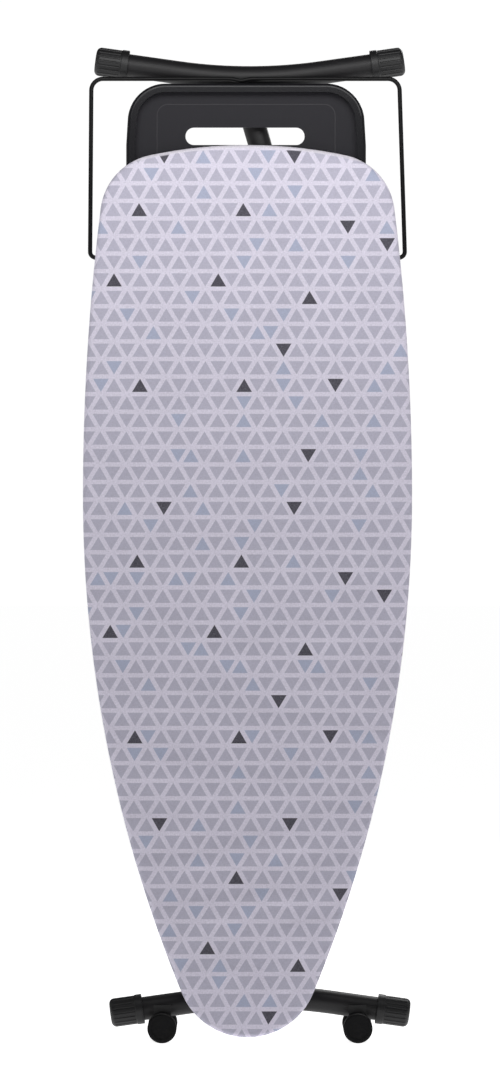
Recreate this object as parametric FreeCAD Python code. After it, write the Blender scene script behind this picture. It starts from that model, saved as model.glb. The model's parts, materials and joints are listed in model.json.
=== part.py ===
import FreeCAD, Part
import math
import os
from FreeCAD import Vector

# Ironing board, folded and standing on its nose end.
# +X is across the board, +Y runs from the cover to the underside, +Z from the nose to the heel.
# The origin is on the floor, under the middle of the object's box. All sizes are in millimetres.
# "Depth" is the distance behind the face of the cover.

# ---- board ----
BOARD_LENGTH = 1220.0
BOARD_WIDTH = 450.0
NOSE_RADIUS = 97.0
WIDEST_FROM_NOSE = 740.0
HEEL_SIDE_RADIUS = 3200.0
HEEL_END_RADIUS = 650.0
HEEL_CORNER_RADIUS = 85.0
NOSE_ABOVE_FLOOR = 8.0
COVER_THICKNESS = 1.0
COVER_HEM_WIDTH = 36.0
PAD_THICKNESS = 4.8
LAYER_GAP = 0.1
EDGE_GAP = 0.3
CUT_OVERRUN = 1.0
MESH_THICKNESS = 0.6
RIM_DEPTH = 10.0
RIM_THICKNESS = 1.5

# ---- channels, bars and rack under the board ----
CHANNEL_DEPTH = 26.0
CHANNEL_WIDTH = 14.5
CHANNEL_SHEET = 1.5
CHANNEL_LIP = 4.0
CHANNEL_END_MARGIN = 5.0
LEVER_SPACE = 22.0
CROSSBAR_WIDTH = 25.0
CROSSBAR_DEPTH = 14.5
CROSSBAR_WALL = 1.5
CROSSBAR_END_GAP = 4.0
HEEL_BAR_GAP = 2.0
NOSE_BAR_GAP = 16.0
RACK_THICKNESS = 3.0
RACK_DEPTH = 7.5
RACK_FOOT_WIDTH = 12.0
RACK_FOOT_THICKNESS = 1.5
RACK_END = 18.0
NOTCH_RADIUS = 3.0
NOTCH_ANGLES = (30.0, 36.0, 42.0, 48.0, 54.0, 60.0)

# ---- scissor legs ----
TUBE_RADIUS = 16.0
TUBE_WALL = 1.2
LEG_GAP = 8.0
FIXED_PIVOT_FROM_NOSE = 283.0
HEEL_FOOT_BEYOND_BOARD = 96.0
LEG_BEND_LENGTH = 102.0
LEG_BEND_ANGLE = 16.4
LEG_BEND_RADIUS = 90.0
ROD_RADIUS = 5.0
HEAD_WALL = 2.5
HEAD_LENGTH = 54.0
HEAD_BELOW_ROD = 14.0
HEAD_END_WALL = 4.0
HEAD_BOSS_RADIUS = 9.0
HEAD_BOSS_WIDTH = 28.0
HEAD_WEB_WIDTH = 20.0
HEAD_WEB_RISE = 25.0
WELD_FIT = 0.05

# ---- feet ----
HEEL_FOOT_LENGTH = 424.0
HEEL_FOOT_X = 3.0
NOSE_FOOT_LENGTH = 411.0
NOSE_FOOT_X = 17.0
FOOT_ARC_RADIUS = 700.0
FOOT_END_SLOPE = 8.0
CAP_LENGTH = 45.0
CAP_BORE_DEPTH = 38.0
CAP_BODY_RADIUS = 19.6
CAP_COLLAR_RADIUS = 20.5
CAP_COLLAR_LENGTH = 9.0
CAP_DOME_RADIUS = 7.0
CAP_FIT = 0.1
FLUTE_COUNT = 20
FLUTE_RADIUS = 1.5
FLUTE_OUT = 0.525
FLUTE_START = 11.0

# ---- cross pivot ----
BOLT_RADIUS = 4.0
RUNNING_FIT = 0.05
SIDE_PLAY = 0.3
WASHER_RADIUS = 8.0
WASHER_THICKNESS = 1.5
SPACER_RADIUS = 12.0
HEX_ACROSS_FLATS = 13.0
BOLT_HEAD_THICKNESS = 5.5
NUT_THICKNESS = 6.5
BOLT_END = 1.5

# ---- shoes and bushes in the channels ----
SHOE_LENGTH = 40.0
SHOE_PLAY = 0.3
SHOE_END_RADIUS = 3.0
BUSH_LENGTH = 26.0

# ---- rollers at the nose foot ----
ROLLER_RADIUS = 20.0
ROLLER_WIDTH = 24.0
ROLLER_SPACING = 268.0
ROLLER_EDGE_RADIUS = 2.5
ROLLER_FACE_RADIUS = 15.0
ROLLER_FACE_RECESS = 0.8
ROLLER_BORE_DEPTH = 20.0
ROLLER_GAP = 0.5
AXLE_RADIUS = 3.0
AXLE_BELOW_TUBE = 27.0
BRACKET_WALL = 2.5
BRACKET_WIDTH = 24.0
BRACKET_BOSS_RADIUS = 8.0
BRACKET_WRAP = 3.0

# ---- iron rest ----
REST_WIDTH = 328.0
REST_X = -2.0
REST_BEYOND_BOARD = 84.5
REST_BEHIND_BOARD = 66.0
REST_SHEET = 3.6
REST_FLARE = 5.0
REST_CORNER_RADIUS = 52.0
REST_RIM_WIDTH = 12.0
REST_RIM_FRONT = 6.0
REST_RIM_ROUND = 5.0
REST_BOARD_GAP = 1.0
REST_TONGUE_WIDTH = 270.0
SLOT_LENGTH = 163.0
SLOT_HEIGHT = 24.0
SLOT_CORNER = 11.5
SLOT_ABOVE_BOARD = 1.0
SLOT_X = -3.4
PLATEAU_WIDTH = 244.0
PLATEAU_TOP_BELOW_REST = 28.0
PLATEAU_CORNER = 15.0
PLATEAU_RISE = 0.8
STRAP_X = 100.0
STRAP_WIDTH = 20.0
STRAP_THICKNESS = 2.0
STRAP_BELOW_REST_TOP = 26.0
SCREW_RADIUS = 2.0
SCREW_HEAD_RADIUS = 4.0
SCREW_HEAD_THICKNESS = 2.2
SCREW_HEAD_ROUND = 1.0
SCREW_BITE = 2.6
SCREW_FIT = 0.1
SCREW_END_GAP = 0.2
REST_SCREWS_FROM_HEEL = (-53.0, 55.0)

# ---- hanger rail ----
WIRE_RADIUS = 3.0
RAIL_PIVOT_FROM_HEEL = 153.0
RAIL_EDGE_GAP = 4.5
RAIL_TOP_BEYOND_BOARD = 92.0
RAIL_TOP_HALF = 211.0
RAIL_TOP_X = -3.0
RAIL_CORNER_RADIUS = 16.0
RAIL_PIVOT_BEND = 8.0
RAIL_DIP_X = -9.0
RAIL_DIP_DEPTH = 3.0
RAIL_DIP_HALF = 14.0
RAIL_DIP_RADIUS = 9.0
RAIL_BEHIND_HEM = 0.9
RAIL_CAP_GAP = 0.5
RAIL_END_INSIDE_CLIP = 1.0
CLIP_LENGTH = 22.0
CLIP_INSIDE_HEM = 2.0
CLIP_HEIGHT = 18.0
CLIP_WALL = 3.0
CLIP_FOOT = 16.0
CLIP_FOOT_THICKNESS = 3.0

# ---- release lever ----
PAWL_THICKNESS = 3.0
PAWL_GAP = 4.0
PAWL_RACK_GAP = 1.0
PAWL_HUB_RADIUS = 9.0
PAWL_ARM_RADIUS = 6.0
TOOTH_RADIUS = 2.5
TOOTH_REACH = 30.0
TOOTH_CLEARANCE = 0.5
LEVER_WIRE_RADIUS = 3.0
LEVER_RISE = 35.0
LEVER_BEHIND_CHANNEL = 15.0
LEVER_REACH = 190.0
GRIP_RADIUS = 8.0
GRIP_ROUND = 3.6
GRIP_LENGTH = 78.0
GRIP_BORE_FIT = 0.05
SPRING_WIRE_RADIUS = 0.9
SPRING_TURNS = 3
SPRING_PITCH = 2.2
SPRING_CLEARANCE = 0.6

# ---- depths of the layers behind the cover's face ----
pad_front = COVER_THICKNESS + LAYER_GAP
pad_back = pad_front + PAD_THICKNESS
mesh_front = pad_back + LAYER_GAP
mesh_back = mesh_front + MESH_THICKNESS
rim_back = mesh_front + RIM_DEPTH
hem_front = rim_back + LAYER_GAP
hem_back = hem_front + COVER_THICKNESS
rod_depth = mesh_back + CHANNEL_DEPTH / 2
channel_back = mesh_back + CHANNEL_DEPTH
rail_depth = hem_back + RAIL_BEHIND_HEM + WIRE_RADIUS
leg_depth = rail_depth + WIRE_RADIUS + RAIL_CAP_GAP + CAP_COLLAR_RADIUS
rest_back = mesh_back + CROSSBAR_DEPTH
rest_front = rest_back - REST_SHEET
strap_back = rest_back + STRAP_THICKNESS
saddle_radius = TUBE_RADIUS + BRACKET_WALL
front_roller_back = leg_depth - saddle_radius - ROLLER_GAP
rear_roller_front = leg_depth + saddle_radius + ROLLER_GAP
overall_depth = rear_roller_front + ROLLER_WIDTH
rack_back = mesh_back + RACK_DEPTH
tooth_depth = rack_back + TOOTH_CLEARANCE + TOOTH_RADIUS
lever_depth = channel_back + LEVER_BEHIND_CHANNEL
clip_back = rail_depth + WIRE_RADIUS + CLIP_WALL

# ---- heights above the floor ----
slope = math.radians(FOOT_END_SLOPE)
foot_arc_half = FOOT_ARC_RADIUS * math.sin(slope)
foot_arc_rise = FOOT_ARC_RADIUS * (1 - math.cos(slope))
roller_offset = ROLLER_SPACING / 2


def foot_rise(distance):
    """How far the foot tube's centre line has left its middle, at a distance from the middle."""
    if distance <= foot_arc_half:
        return FOOT_ARC_RADIUS - math.sqrt(FOOT_ARC_RADIUS ** 2 - distance ** 2)
    return foot_arc_rise + (distance - foot_arc_half) * math.tan(slope)


nose_z = NOSE_ABOVE_FLOOR
heel_z = nose_z + BOARD_LENGTH
axle_z = ROLLER_RADIUS
nose_foot_z = axle_z + AXLE_BELOW_TUBE + foot_rise(roller_offset)
heel_foot_z = heel_z + HEEL_FOOT_BEYOND_BOARD
cross_z = (nose_foot_z + heel_foot_z) / 2
fixed_pivot_z = nose_z + FIXED_PIVOT_FROM_NOSE
slide_pivot_z = 2 * cross_z - fixed_pivot_z
channel_start_z = fixed_pivot_z - BUSH_LENGTH / 2 - CHANNEL_END_MARGIN
channel_end_z = slide_pivot_z + SHOE_LENGTH / 2 + CHANNEL_END_MARGIN
nose_bar_z = channel_start_z - NOSE_BAR_GAP - CROSSBAR_WIDTH
heel_bar_z = channel_end_z + HEEL_BAR_GAP
rest_top_z = heel_z + REST_BEYOND_BOARD
rail_pivot_z = heel_z - RAIL_PIVOT_FROM_HEEL
rail_top_z = heel_z + RAIL_TOP_BEYOND_BOARD
clip_bottom_z = rail_pivot_z - CLIP_HEIGHT / 2
clip_screw_z = clip_bottom_z - CLIP_FOOT / 2
tooth_z = slide_pivot_z - TOOTH_REACH
lever_z = slide_pivot_z + LEVER_RISE

# ---- places across the board ----
leg_x = LEG_GAP / 2 + TUBE_RADIUS
channel_x = leg_x + TUBE_RADIUS + LEVER_SPACE
channel_outer_x = channel_x + CHANNEL_WIDTH
shoe_inner_x = channel_x + CHANNEL_SHEET + SHOE_PLAY
shoe_outer_x = channel_outer_x - CHANNEL_SHEET - SHOE_PLAY
pawl_x = leg_x + TUBE_RADIUS + PAWL_GAP
rack_x = pawl_x + PAWL_THICKNESS + PAWL_RACK_GAP
grip_x = LEVER_REACH - GRIP_LENGTH


# ---- helpers ----
def at(x, depth, z):
    """A point from its place across, its depth behind the cover's face and its height."""
    return Vector(x, depth - overall_depth / 2, z)


def box(x0, x1, depth0, depth1, z0, z1):
    return Part.makeBox(x1 - x0, depth1 - depth0, z1 - z0, at(x0, depth0, z0))


def rod_across(x0, x1, depth, z, radius):
    """A cylinder along X."""
    return Part.makeCylinder(radius, x1 - x0, at(x0, depth, z), Vector(1, 0, 0))


def rod_through(x, z, depth0, depth1, radius):
    """A cylinder along Y."""
    return Part.makeCylinder(radius, depth1 - depth0, at(x, depth0, z), Vector(0, 1, 0))


def rod_along(x, depth, z0, z1, radius):
    """A cylinder along Z."""
    return Part.makeCylinder(radius, z1 - z0, at(x, depth, z0), Vector(0, 0, 1))


def hexagon(x0, x1, depth, z):
    """A hexagonal prism along X."""
    corner = HEX_ACROSS_FLATS / math.sqrt(3)
    points = []
    for step in range(7):
        turn = math.radians(60 * step)
        points.append(at(x0, depth + corner * math.cos(turn), z + corner * math.sin(turn)))
    return Part.Face(Part.makePolygon(points)).extrude(Vector(x1 - x0, 0, 0))


def bent_wire(points, radii):
    """Straight runs through the points, joined at each inner point by an arc of its radius."""
    edges = []
    start = points[0]
    for index, radius in enumerate(radii, start=1):
        corner = points[index]
        before = (corner - points[index - 1]).normalize()
        after = (points[index + 1] - corner).normalize()
        half_turn = before.getAngle(after) / 2
        reach = radius * math.tan(half_turn)
        arc_start = corner - before * reach
        arc_end = corner + after * reach
        inwards = (after - before).normalize()
        centre = corner + inwards * (radius / math.cos(half_turn))
        edges.append(Part.LineSegment(start, arc_start).toShape())
        edges.append(Part.Arc(arc_start, centre - inwards * radius, arc_end).toShape())
        start = arc_end
    edges.append(Part.LineSegment(start, points[-1]).toShape())
    return Part.Wire(edges)


def swept_round(path, radius):
    """A solid round bar along a path."""
    first = path.OrderedEdges[0]
    direction = first.tangentAt(first.FirstParameter)
    section = Part.Wire(Part.Circle(path.OrderedVertexes[0].Point, direction, radius).toShape())
    return path.makePipeShell([section], True, False)


def capsule(x0, thickness, depth_a, z_a, depth_b, z_b, radius):
    """A flat link with round ends, lying across X."""
    run = Vector(0, depth_b - depth_a, z_b - z_a)
    side = Vector(1, 0, 0).cross(run).normalize() * radius
    onwards = Vector(run).normalize() * radius
    a = at(x0, depth_a, z_a)
    b = at(x0, depth_b, z_b)
    edges = [
        Part.LineSegment(a + side, b + side).toShape(),
        Part.Arc(b + side, b + onwards, b - side).toShape(),
        Part.LineSegment(b - side, a - side).toShape(),
        Part.Arc(a - side, a - onwards, a + side).toShape(),
    ]
    return Part.Face(Part.Wire(edges)).extrude(Vector(thickness, 0, 0))


def rounded_plate(x0, x1, z0, z1, depth0, depth1, radius):
    """A flat plate facing Y with rounded corners."""
    plate = box(x0, x1, depth0, depth1, z0, z1)
    corners = [edge for edge in plate.Edges if runs_along(edge, Vector(0, 1, 0))]
    return plate.makeFillet(radius, corners)


def on_depth(edge, depth):
    """Whether an edge lies wholly at a depth."""
    wanted = at(0, depth, 0).y
    return all(abs(vertex.Point.y - wanted) < 1e-6 for vertex in edge.Vertexes)


def runs_along(edge, direction):
    """Whether an edge starts out along a direction, either way."""
    return abs(edge.tangentAt(edge.FirstParameter).dot(direction)) > 0.99


def group(shapes):
    """Separate solids kept together in one node."""
    return Part.makeCompound(shapes)


def on_side(shape, side):
    """A shape made for the +X side, on the side asked for."""
    if side > 0:
        return shape
    return shape.mirror(Vector(0, 0, 0), Vector(1, 0, 0))


# ---- outline of the board ----
half_width = BOARD_WIDTH / 2
widest_z = nose_z + WIDEST_FROM_NOSE
taper_rise = WIDEST_FROM_NOSE - NOSE_RADIUS
taper_sum = half_width ** 2 + taper_rise ** 2 - NOSE_RADIUS ** 2
taper_radius = taper_sum / (2 * (half_width - NOSE_RADIUS))


def heel_corner_centre():
    """Centre of the arc that rounds the side into the heel end, as (x, z)."""
    side = (half_width - HEEL_SIDE_RADIUS, widest_z)
    end = (0.0, heel_z - HEEL_END_RADIUS)
    from_side = HEEL_SIDE_RADIUS - HEEL_CORNER_RADIUS
    from_end = HEEL_END_RADIUS - HEEL_CORNER_RADIUS
    across = end[0] - side[0]
    up = end[1] - side[1]
    apart = math.hypot(across, up)
    along = (from_side ** 2 - from_end ** 2 + apart ** 2) / (2 * apart)
    off = math.sqrt(from_side ** 2 - along ** 2)
    x = side[0] + (along * across - off * up) / apart
    z = side[1] + (along * up + off * across) / apart
    return x, z


def board_outline(offset, depth):
    """The board's outline, moved outwards by an offset, as a flat face at a depth."""
    corner = heel_corner_centre()
    nose = (0.0, nose_z + NOSE_RADIUS)
    taper = (half_width - taper_radius, widest_z)
    side = (half_width - HEEL_SIDE_RADIUS, widest_z)
    end = (0.0, heel_z - HEEL_END_RADIUS)

    def towards(start, goal):
        length = math.hypot(goal[0] - start[0], goal[1] - start[1])
        return (goal[0] - start[0]) / length, (goal[1] - start[1]) / length

    to_nose = towards(taper, nose)
    to_corner = towards(side, corner)
    from_end = towards(end, corner)
    right = [
        (taper, taper_radius, to_nose, (1.0, 0.0)),
        (side, HEEL_SIDE_RADIUS, (1.0, 0.0), to_corner),
        (corner, HEEL_CORNER_RADIUS, to_corner, from_end),
    ]

    def arc(centre, radius, first, last, mirror):
        reach = radius + offset
        middle = (first[0] + last[0], first[1] + last[1])
        length = math.hypot(*middle)
        points = []
        for way in (first, (middle[0] / length, middle[1] / length), last):
            x = centre[0] + reach * way[0]
            points.append(at(mirror * x, depth, centre[1] + reach * way[1]))
        return Part.Arc(*points).toShape()

    edges = [arc(nose, NOSE_RADIUS, (-to_nose[0], to_nose[1]), to_nose, 1)]
    for centre, radius, first, last in right:
        edges.append(arc(centre, radius, first, last, 1))
    edges.append(arc(end, HEEL_END_RADIUS, from_end, (-from_end[0], from_end[1]), 1))
    for centre, radius, first, last in reversed(right):
        edges.append(arc(centre, radius, last, first, -1))
    return Part.Face(Part.Wire(edges))


def board_layer(offset, depth0, depth1):
    return board_outline(offset, depth0).extrude(Vector(0, depth1 - depth0, 0))


def half_width_at(z):
    """Half the board's width at a height on its long sides."""
    radius = taper_radius if z < widest_z else HEEL_SIDE_RADIUS
    return half_width - radius + math.sqrt(radius ** 2 - (z - widest_z) ** 2)


clip_outer_x = half_width_at(rail_pivot_z) - COVER_HEM_WIDTH - CLIP_INSIDE_HEM
clip_inner_x = clip_outer_x - CLIP_LENGTH
clip_middle_x = (clip_inner_x + clip_outer_x) / 2


# ---- board ----
def cover():
    shell = board_layer(0.0, 0.0, hem_back)
    inside = board_layer(-COVER_THICKNESS, COVER_THICKNESS, hem_front)
    opening = board_layer(-COVER_HEM_WIDTH, hem_front - LAYER_GAP, hem_back + LAYER_GAP)
    return shell.cut(inside).cut(opening)


def underlay_pad():
    return board_layer(-COVER_THICKNESS - EDGE_GAP, pad_front, pad_back)


def mesh_top():
    return board_layer(-COVER_THICKNESS - EDGE_GAP - RIM_THICKNESS, mesh_front, mesh_back)


def rim_frame():
    outside = -COVER_THICKNESS - EDGE_GAP
    band = board_layer(outside, mesh_front, rim_back)
    inside = board_layer(outside - RIM_THICKNESS, mesh_front - LAYER_GAP, rim_back + LAYER_GAP)
    return band.cut(inside)


def channel(side):
    inner_depth0 = mesh_back + CHANNEL_SHEET
    inner_depth1 = channel_back - CHANNEL_SHEET
    body = box(channel_x, channel_outer_x, mesh_back, channel_back, channel_start_z, channel_end_z)
    groove = box(channel_x + CHANNEL_SHEET, channel_outer_x - CHANNEL_SHEET,
                 inner_depth0, inner_depth1, channel_start_z, channel_end_z)
    mouth = box(channel_x, channel_x + CHANNEL_SHEET,
                inner_depth0 + CHANNEL_LIP, inner_depth1 - CHANNEL_LIP,
                channel_start_z, channel_end_z)
    return on_side(body.cut(groove).cut(mouth), side)


def crossbar(z0):
    """A box section bar that ends short of the cover's hem at its narrower edge."""
    z1 = z0 + CROSSBAR_WIDTH
    half = min(half_width_at(z0), half_width_at(z1)) - COVER_HEM_WIDTH - CROSSBAR_END_GAP
    wall = CROSSBAR_WALL
    bar = box(-half, half, mesh_back, mesh_back + CROSSBAR_DEPTH, z0, z1)
    hollow = box(-half, half, mesh_back + wall, mesh_back + CROSSBAR_DEPTH - wall,
                 z0 + wall, z1 - wall)
    return bar.cut(hollow)


def slide_z(angle):
    """Height of the sliding rod when the legs have opened by an angle."""
    half_span = slide_pivot_z - cross_z
    stand_off = leg_depth - rod_depth
    folded = math.atan2(stand_off, half_span)
    opened = folded + math.radians(angle)
    return fixed_pivot_z + 2 * math.hypot(half_span, stand_off) * math.cos(opened)


def height_rack():
    notches = [slide_z(angle) - TOOTH_REACH for angle in NOTCH_ANGLES]
    z0 = min(notches) - RACK_END
    z1 = max(notches) + RACK_END
    rack = box(rack_x, rack_x + RACK_THICKNESS, mesh_back, rack_back, z0, z1)
    foot = box(rack_x, rack_x + RACK_FOOT_WIDTH, mesh_back, mesh_back + RACK_FOOT_THICKNESS, z0, z1)
    rack = rack.fuse(foot)
    for z in notches:
        rack = rack.cut(rod_across(rack_x, rack_x + RACK_THICKNESS, rack_back, z, NOTCH_RADIUS))
    return rack.removeSplitter()


def channel_block(z, length, side):
    """A nylon block that fits inside a channel and carries the end of a rod."""
    play = CHANNEL_SHEET + SHOE_PLAY
    block = box(shoe_inner_x, shoe_outer_x, mesh_back + play, channel_back - play,
                z - length / 2, z + length / 2)
    ends = [edge for edge in block.Edges if runs_along(edge, Vector(1, 0, 0))]
    block = block.makeFillet(SHOE_END_RADIUS, ends)
    bore = rod_across(shoe_inner_x, shoe_outer_x, rod_depth, z, ROD_RADIUS + RUNNING_FIT)
    return on_side(block.cut(bore), side)


def iron_rest():
    left = REST_X - REST_WIDTH / 2
    right = REST_X + REST_WIDTH / 2
    bottom_z = heel_z - REST_BEHIND_BOARD

    def profile(inset, depth):
        """The rest's outline, narrower at the top than at the board, moved inwards by an inset."""
        points = [
            at(left + inset, depth, bottom_z),
            at(left + inset, depth, heel_z),
            at(left + inset + REST_FLARE, depth, rest_top_z - inset),
            at(right - inset - REST_FLARE, depth, rest_top_z - inset),
            at(right - inset, depth, heel_z),
            at(right - inset, depth, bottom_z),
        ]
        corner = REST_CORNER_RADIUS - inset
        path = bent_wire(points, [REST_CORNER_RADIUS, corner, corner, REST_CORNER_RADIUS])
        closing = Part.LineSegment(points[-1], points[0]).toShape()
        return Part.Face(Part.Wire(path.OrderedEdges + [closing]))

    panel = profile(0.0, rest_front).extrude(Vector(0, REST_SHEET, 0))
    rim = profile(0.0, REST_RIM_FRONT).extrude(Vector(0, rest_front - REST_RIM_FRONT, 0))
    front_edges = [edge for edge in rim.Edges if on_depth(edge, REST_RIM_FRONT)]
    rim = rim.makeFillet(REST_RIM_ROUND, front_edges)
    well_depth = rest_front - REST_RIM_FRONT + CUT_OVERRUN
    well = profile(REST_RIM_WIDTH, REST_RIM_FRONT - CUT_OVERRUN).extrude(Vector(0, well_depth, 0))
    plateau = rounded_plate(REST_X - PLATEAU_WIDTH / 2, REST_X + PLATEAU_WIDTH / 2,
                            bottom_z, rest_top_z - PLATEAU_TOP_BELOW_REST,
                            rest_front - PLATEAU_RISE, rest_front, PLATEAU_CORNER)
    board = board_layer(REST_BOARD_GAP, 0.0, rest_front)
    tray = panel.fuse([rim.cut(well), plateau]).cut(board)
    slot_z0 = heel_z + SLOT_ABOVE_BOARD
    slot = rounded_plate(SLOT_X - SLOT_LENGTH / 2, SLOT_X + SLOT_LENGTH / 2,
                         slot_z0, slot_z0 + SLOT_HEIGHT, 0.0, rest_back + CUT_OVERRUN, SLOT_CORNER)
    tongue_sides = []
    for side in (-1, 1):
        edge_x = REST_X + side * REST_TONGUE_WIDTH / 2
        outer_x = REST_X + side * REST_WIDTH
        tongue_sides.append(box(min(edge_x, outer_x), max(edge_x, outer_x),
                                rest_front - CUT_OVERRUN, rest_back + CUT_OVERRUN,
                                bottom_z - CUT_OVERRUN, heel_z - COVER_HEM_WIDTH))
    tray = tray.cut([slot] + tongue_sides)
    for x, z in rest_screw_places():
        tray = tray.cut(rod_through(x, z, rest_back - SCREW_BITE, rest_back + CUT_OVERRUN,
                                    SCREW_RADIUS + SCREW_FIT))
    return tray.removeSplitter()


def rest_screw_places():
    places = []
    for side in (-1, 1):
        for height in REST_SCREWS_FROM_HEEL:
            places.append((REST_X + side * STRAP_X, heel_z + height))
    return places


def bar_screw_places():
    middle = heel_bar_z + CROSSBAR_WIDTH / 2
    return [(REST_X + side * STRAP_X, middle) for side in (-1, 1)]


def iron_rest_straps():
    straps = []
    for side in (-1, 1):
        middle = REST_X + side * STRAP_X
        strap = rounded_plate(middle - STRAP_WIDTH / 2, middle + STRAP_WIDTH / 2,
                              heel_bar_z, rest_top_z - STRAP_BELOW_REST_TOP,
                              rest_back, strap_back, STRAP_WIDTH / 4)
        for x, z in rest_screw_places() + bar_screw_places():
            strap = strap.cut(rod_through(x, z, rest_back, strap_back, SCREW_RADIUS + SCREW_FIT))
        straps.append(strap)
    return group(straps)


def pan_screw(x, z, seat, bite):
    """A screw whose round head stands behind its seat."""
    shank = rod_through(x, z, seat - bite, seat, SCREW_RADIUS)
    head = rod_through(x, z, seat, seat + SCREW_HEAD_THICKNESS, SCREW_HEAD_RADIUS)
    rim = [edge for edge in head.Edges if on_depth(edge, seat + SCREW_HEAD_THICKNESS)]
    head = head.makeFillet(SCREW_HEAD_ROUND, rim)
    return shank.fuse(head)


def iron_rest_screws():
    screws = []
    for x, z in rest_screw_places() + bar_screw_places():
        screws.append(pan_screw(x, z, strap_back, STRAP_THICKNESS + SCREW_BITE - SCREW_END_GAP))
    return group(screws)


def heel_crossbar():
    bar = crossbar(heel_bar_z)
    for x, z in bar_screw_places():
        bar = bar.cut(rod_through(x, z, rest_back - CROSSBAR_WALL, rest_back,
                                  SCREW_RADIUS + SCREW_FIT))
    return bar


def rail_clip(side):
    block = box(clip_inner_x, clip_outer_x, mesh_back, clip_back,
                clip_bottom_z, clip_bottom_z + CLIP_HEIGHT)
    far_edges = [edge for edge in block.Edges
                 if on_depth(edge, clip_back) and runs_along(edge, Vector(1, 0, 0))]
    block = block.makeFillet(CLIP_WALL, far_edges)
    foot_back = mesh_back + CLIP_FOOT_THICKNESS
    foot = box(clip_inner_x, clip_outer_x, mesh_back, foot_back,
               clip_bottom_z - CLIP_FOOT, clip_bottom_z)
    wire_hole = rod_across(clip_inner_x, clip_outer_x, rail_depth, rail_pivot_z,
                           WIRE_RADIUS + RUNNING_FIT)
    screw_hole = rod_through(clip_middle_x, clip_screw_z, mesh_back, foot_back,
                             SCREW_RADIUS + SCREW_FIT)
    return on_side(block.fuse(foot).cut([wire_hole, screw_hole]), side)


def clip_screws():
    screw = pan_screw(clip_middle_x, clip_screw_z, mesh_back + CLIP_FOOT_THICKNESS,
                      CLIP_FOOT_THICKNESS)
    return group([screw, on_side(screw, -1)])


def hanger_rail():
    pivot_half = half_width_at(rail_pivot_z) + WIRE_RADIUS + RAIL_EDGE_GAP
    end_x = clip_inner_x + RAIL_END_INSIDE_CLIP
    flat = rail_top_z
    route = [
        (-end_x, rail_pivot_z),
        (-pivot_half, rail_pivot_z),
        (RAIL_TOP_X - RAIL_TOP_HALF, flat),
        (RAIL_DIP_X - RAIL_DIP_HALF, flat),
        (RAIL_DIP_X, flat - RAIL_DIP_DEPTH),
        (RAIL_DIP_X + RAIL_DIP_HALF, flat),
        (RAIL_TOP_X + RAIL_TOP_HALF, flat),
        (pivot_half, rail_pivot_z),
        (end_x, rail_pivot_z),
    ]
    points = [at(x, rail_depth, z) for x, z in route]
    side_bends = [RAIL_PIVOT_BEND, RAIL_CORNER_RADIUS]
    dip_bends = [RAIL_DIP_RADIUS] * 3
    return swept_round(bent_wire(points, side_bends + dip_bends + side_bends[::-1]), WIRE_RADIUS)


# ---- legs: made as the fixed leg lies, with the sliding leg turned half round the cross pivot ----
def foot_path(middle_x, half_length):
    run = half_length - foot_arc_half
    tilt = math.tan(slope)
    points = []
    for side in (-1, 1):
        end = at(middle_x + side * half_length, leg_depth, heel_foot_z + foot_arc_rise + run * tilt)
        arc_end = at(middle_x + side * foot_arc_half, leg_depth, heel_foot_z + foot_arc_rise)
        points.append((end, arc_end))
    middle = at(middle_x, leg_depth, heel_foot_z)
    return Part.Wire([
        Part.LineSegment(points[0][0], points[0][1]).toShape(),
        Part.Arc(points[0][1], middle, points[1][1]).toShape(),
        Part.LineSegment(points[1][1], points[1][0]).toShape(),
    ])


def tube_half_length(foot_length):
    return foot_length / 2 - (CAP_LENGTH - CAP_BORE_DEPTH) * math.cos(slope)


def foot_tube(middle_x, foot_length):
    path = foot_path(middle_x, tube_half_length(foot_length))
    return swept_round(path, TUBE_RADIUS).cut(swept_round(path, TUBE_RADIUS - TUBE_WALL))


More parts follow.
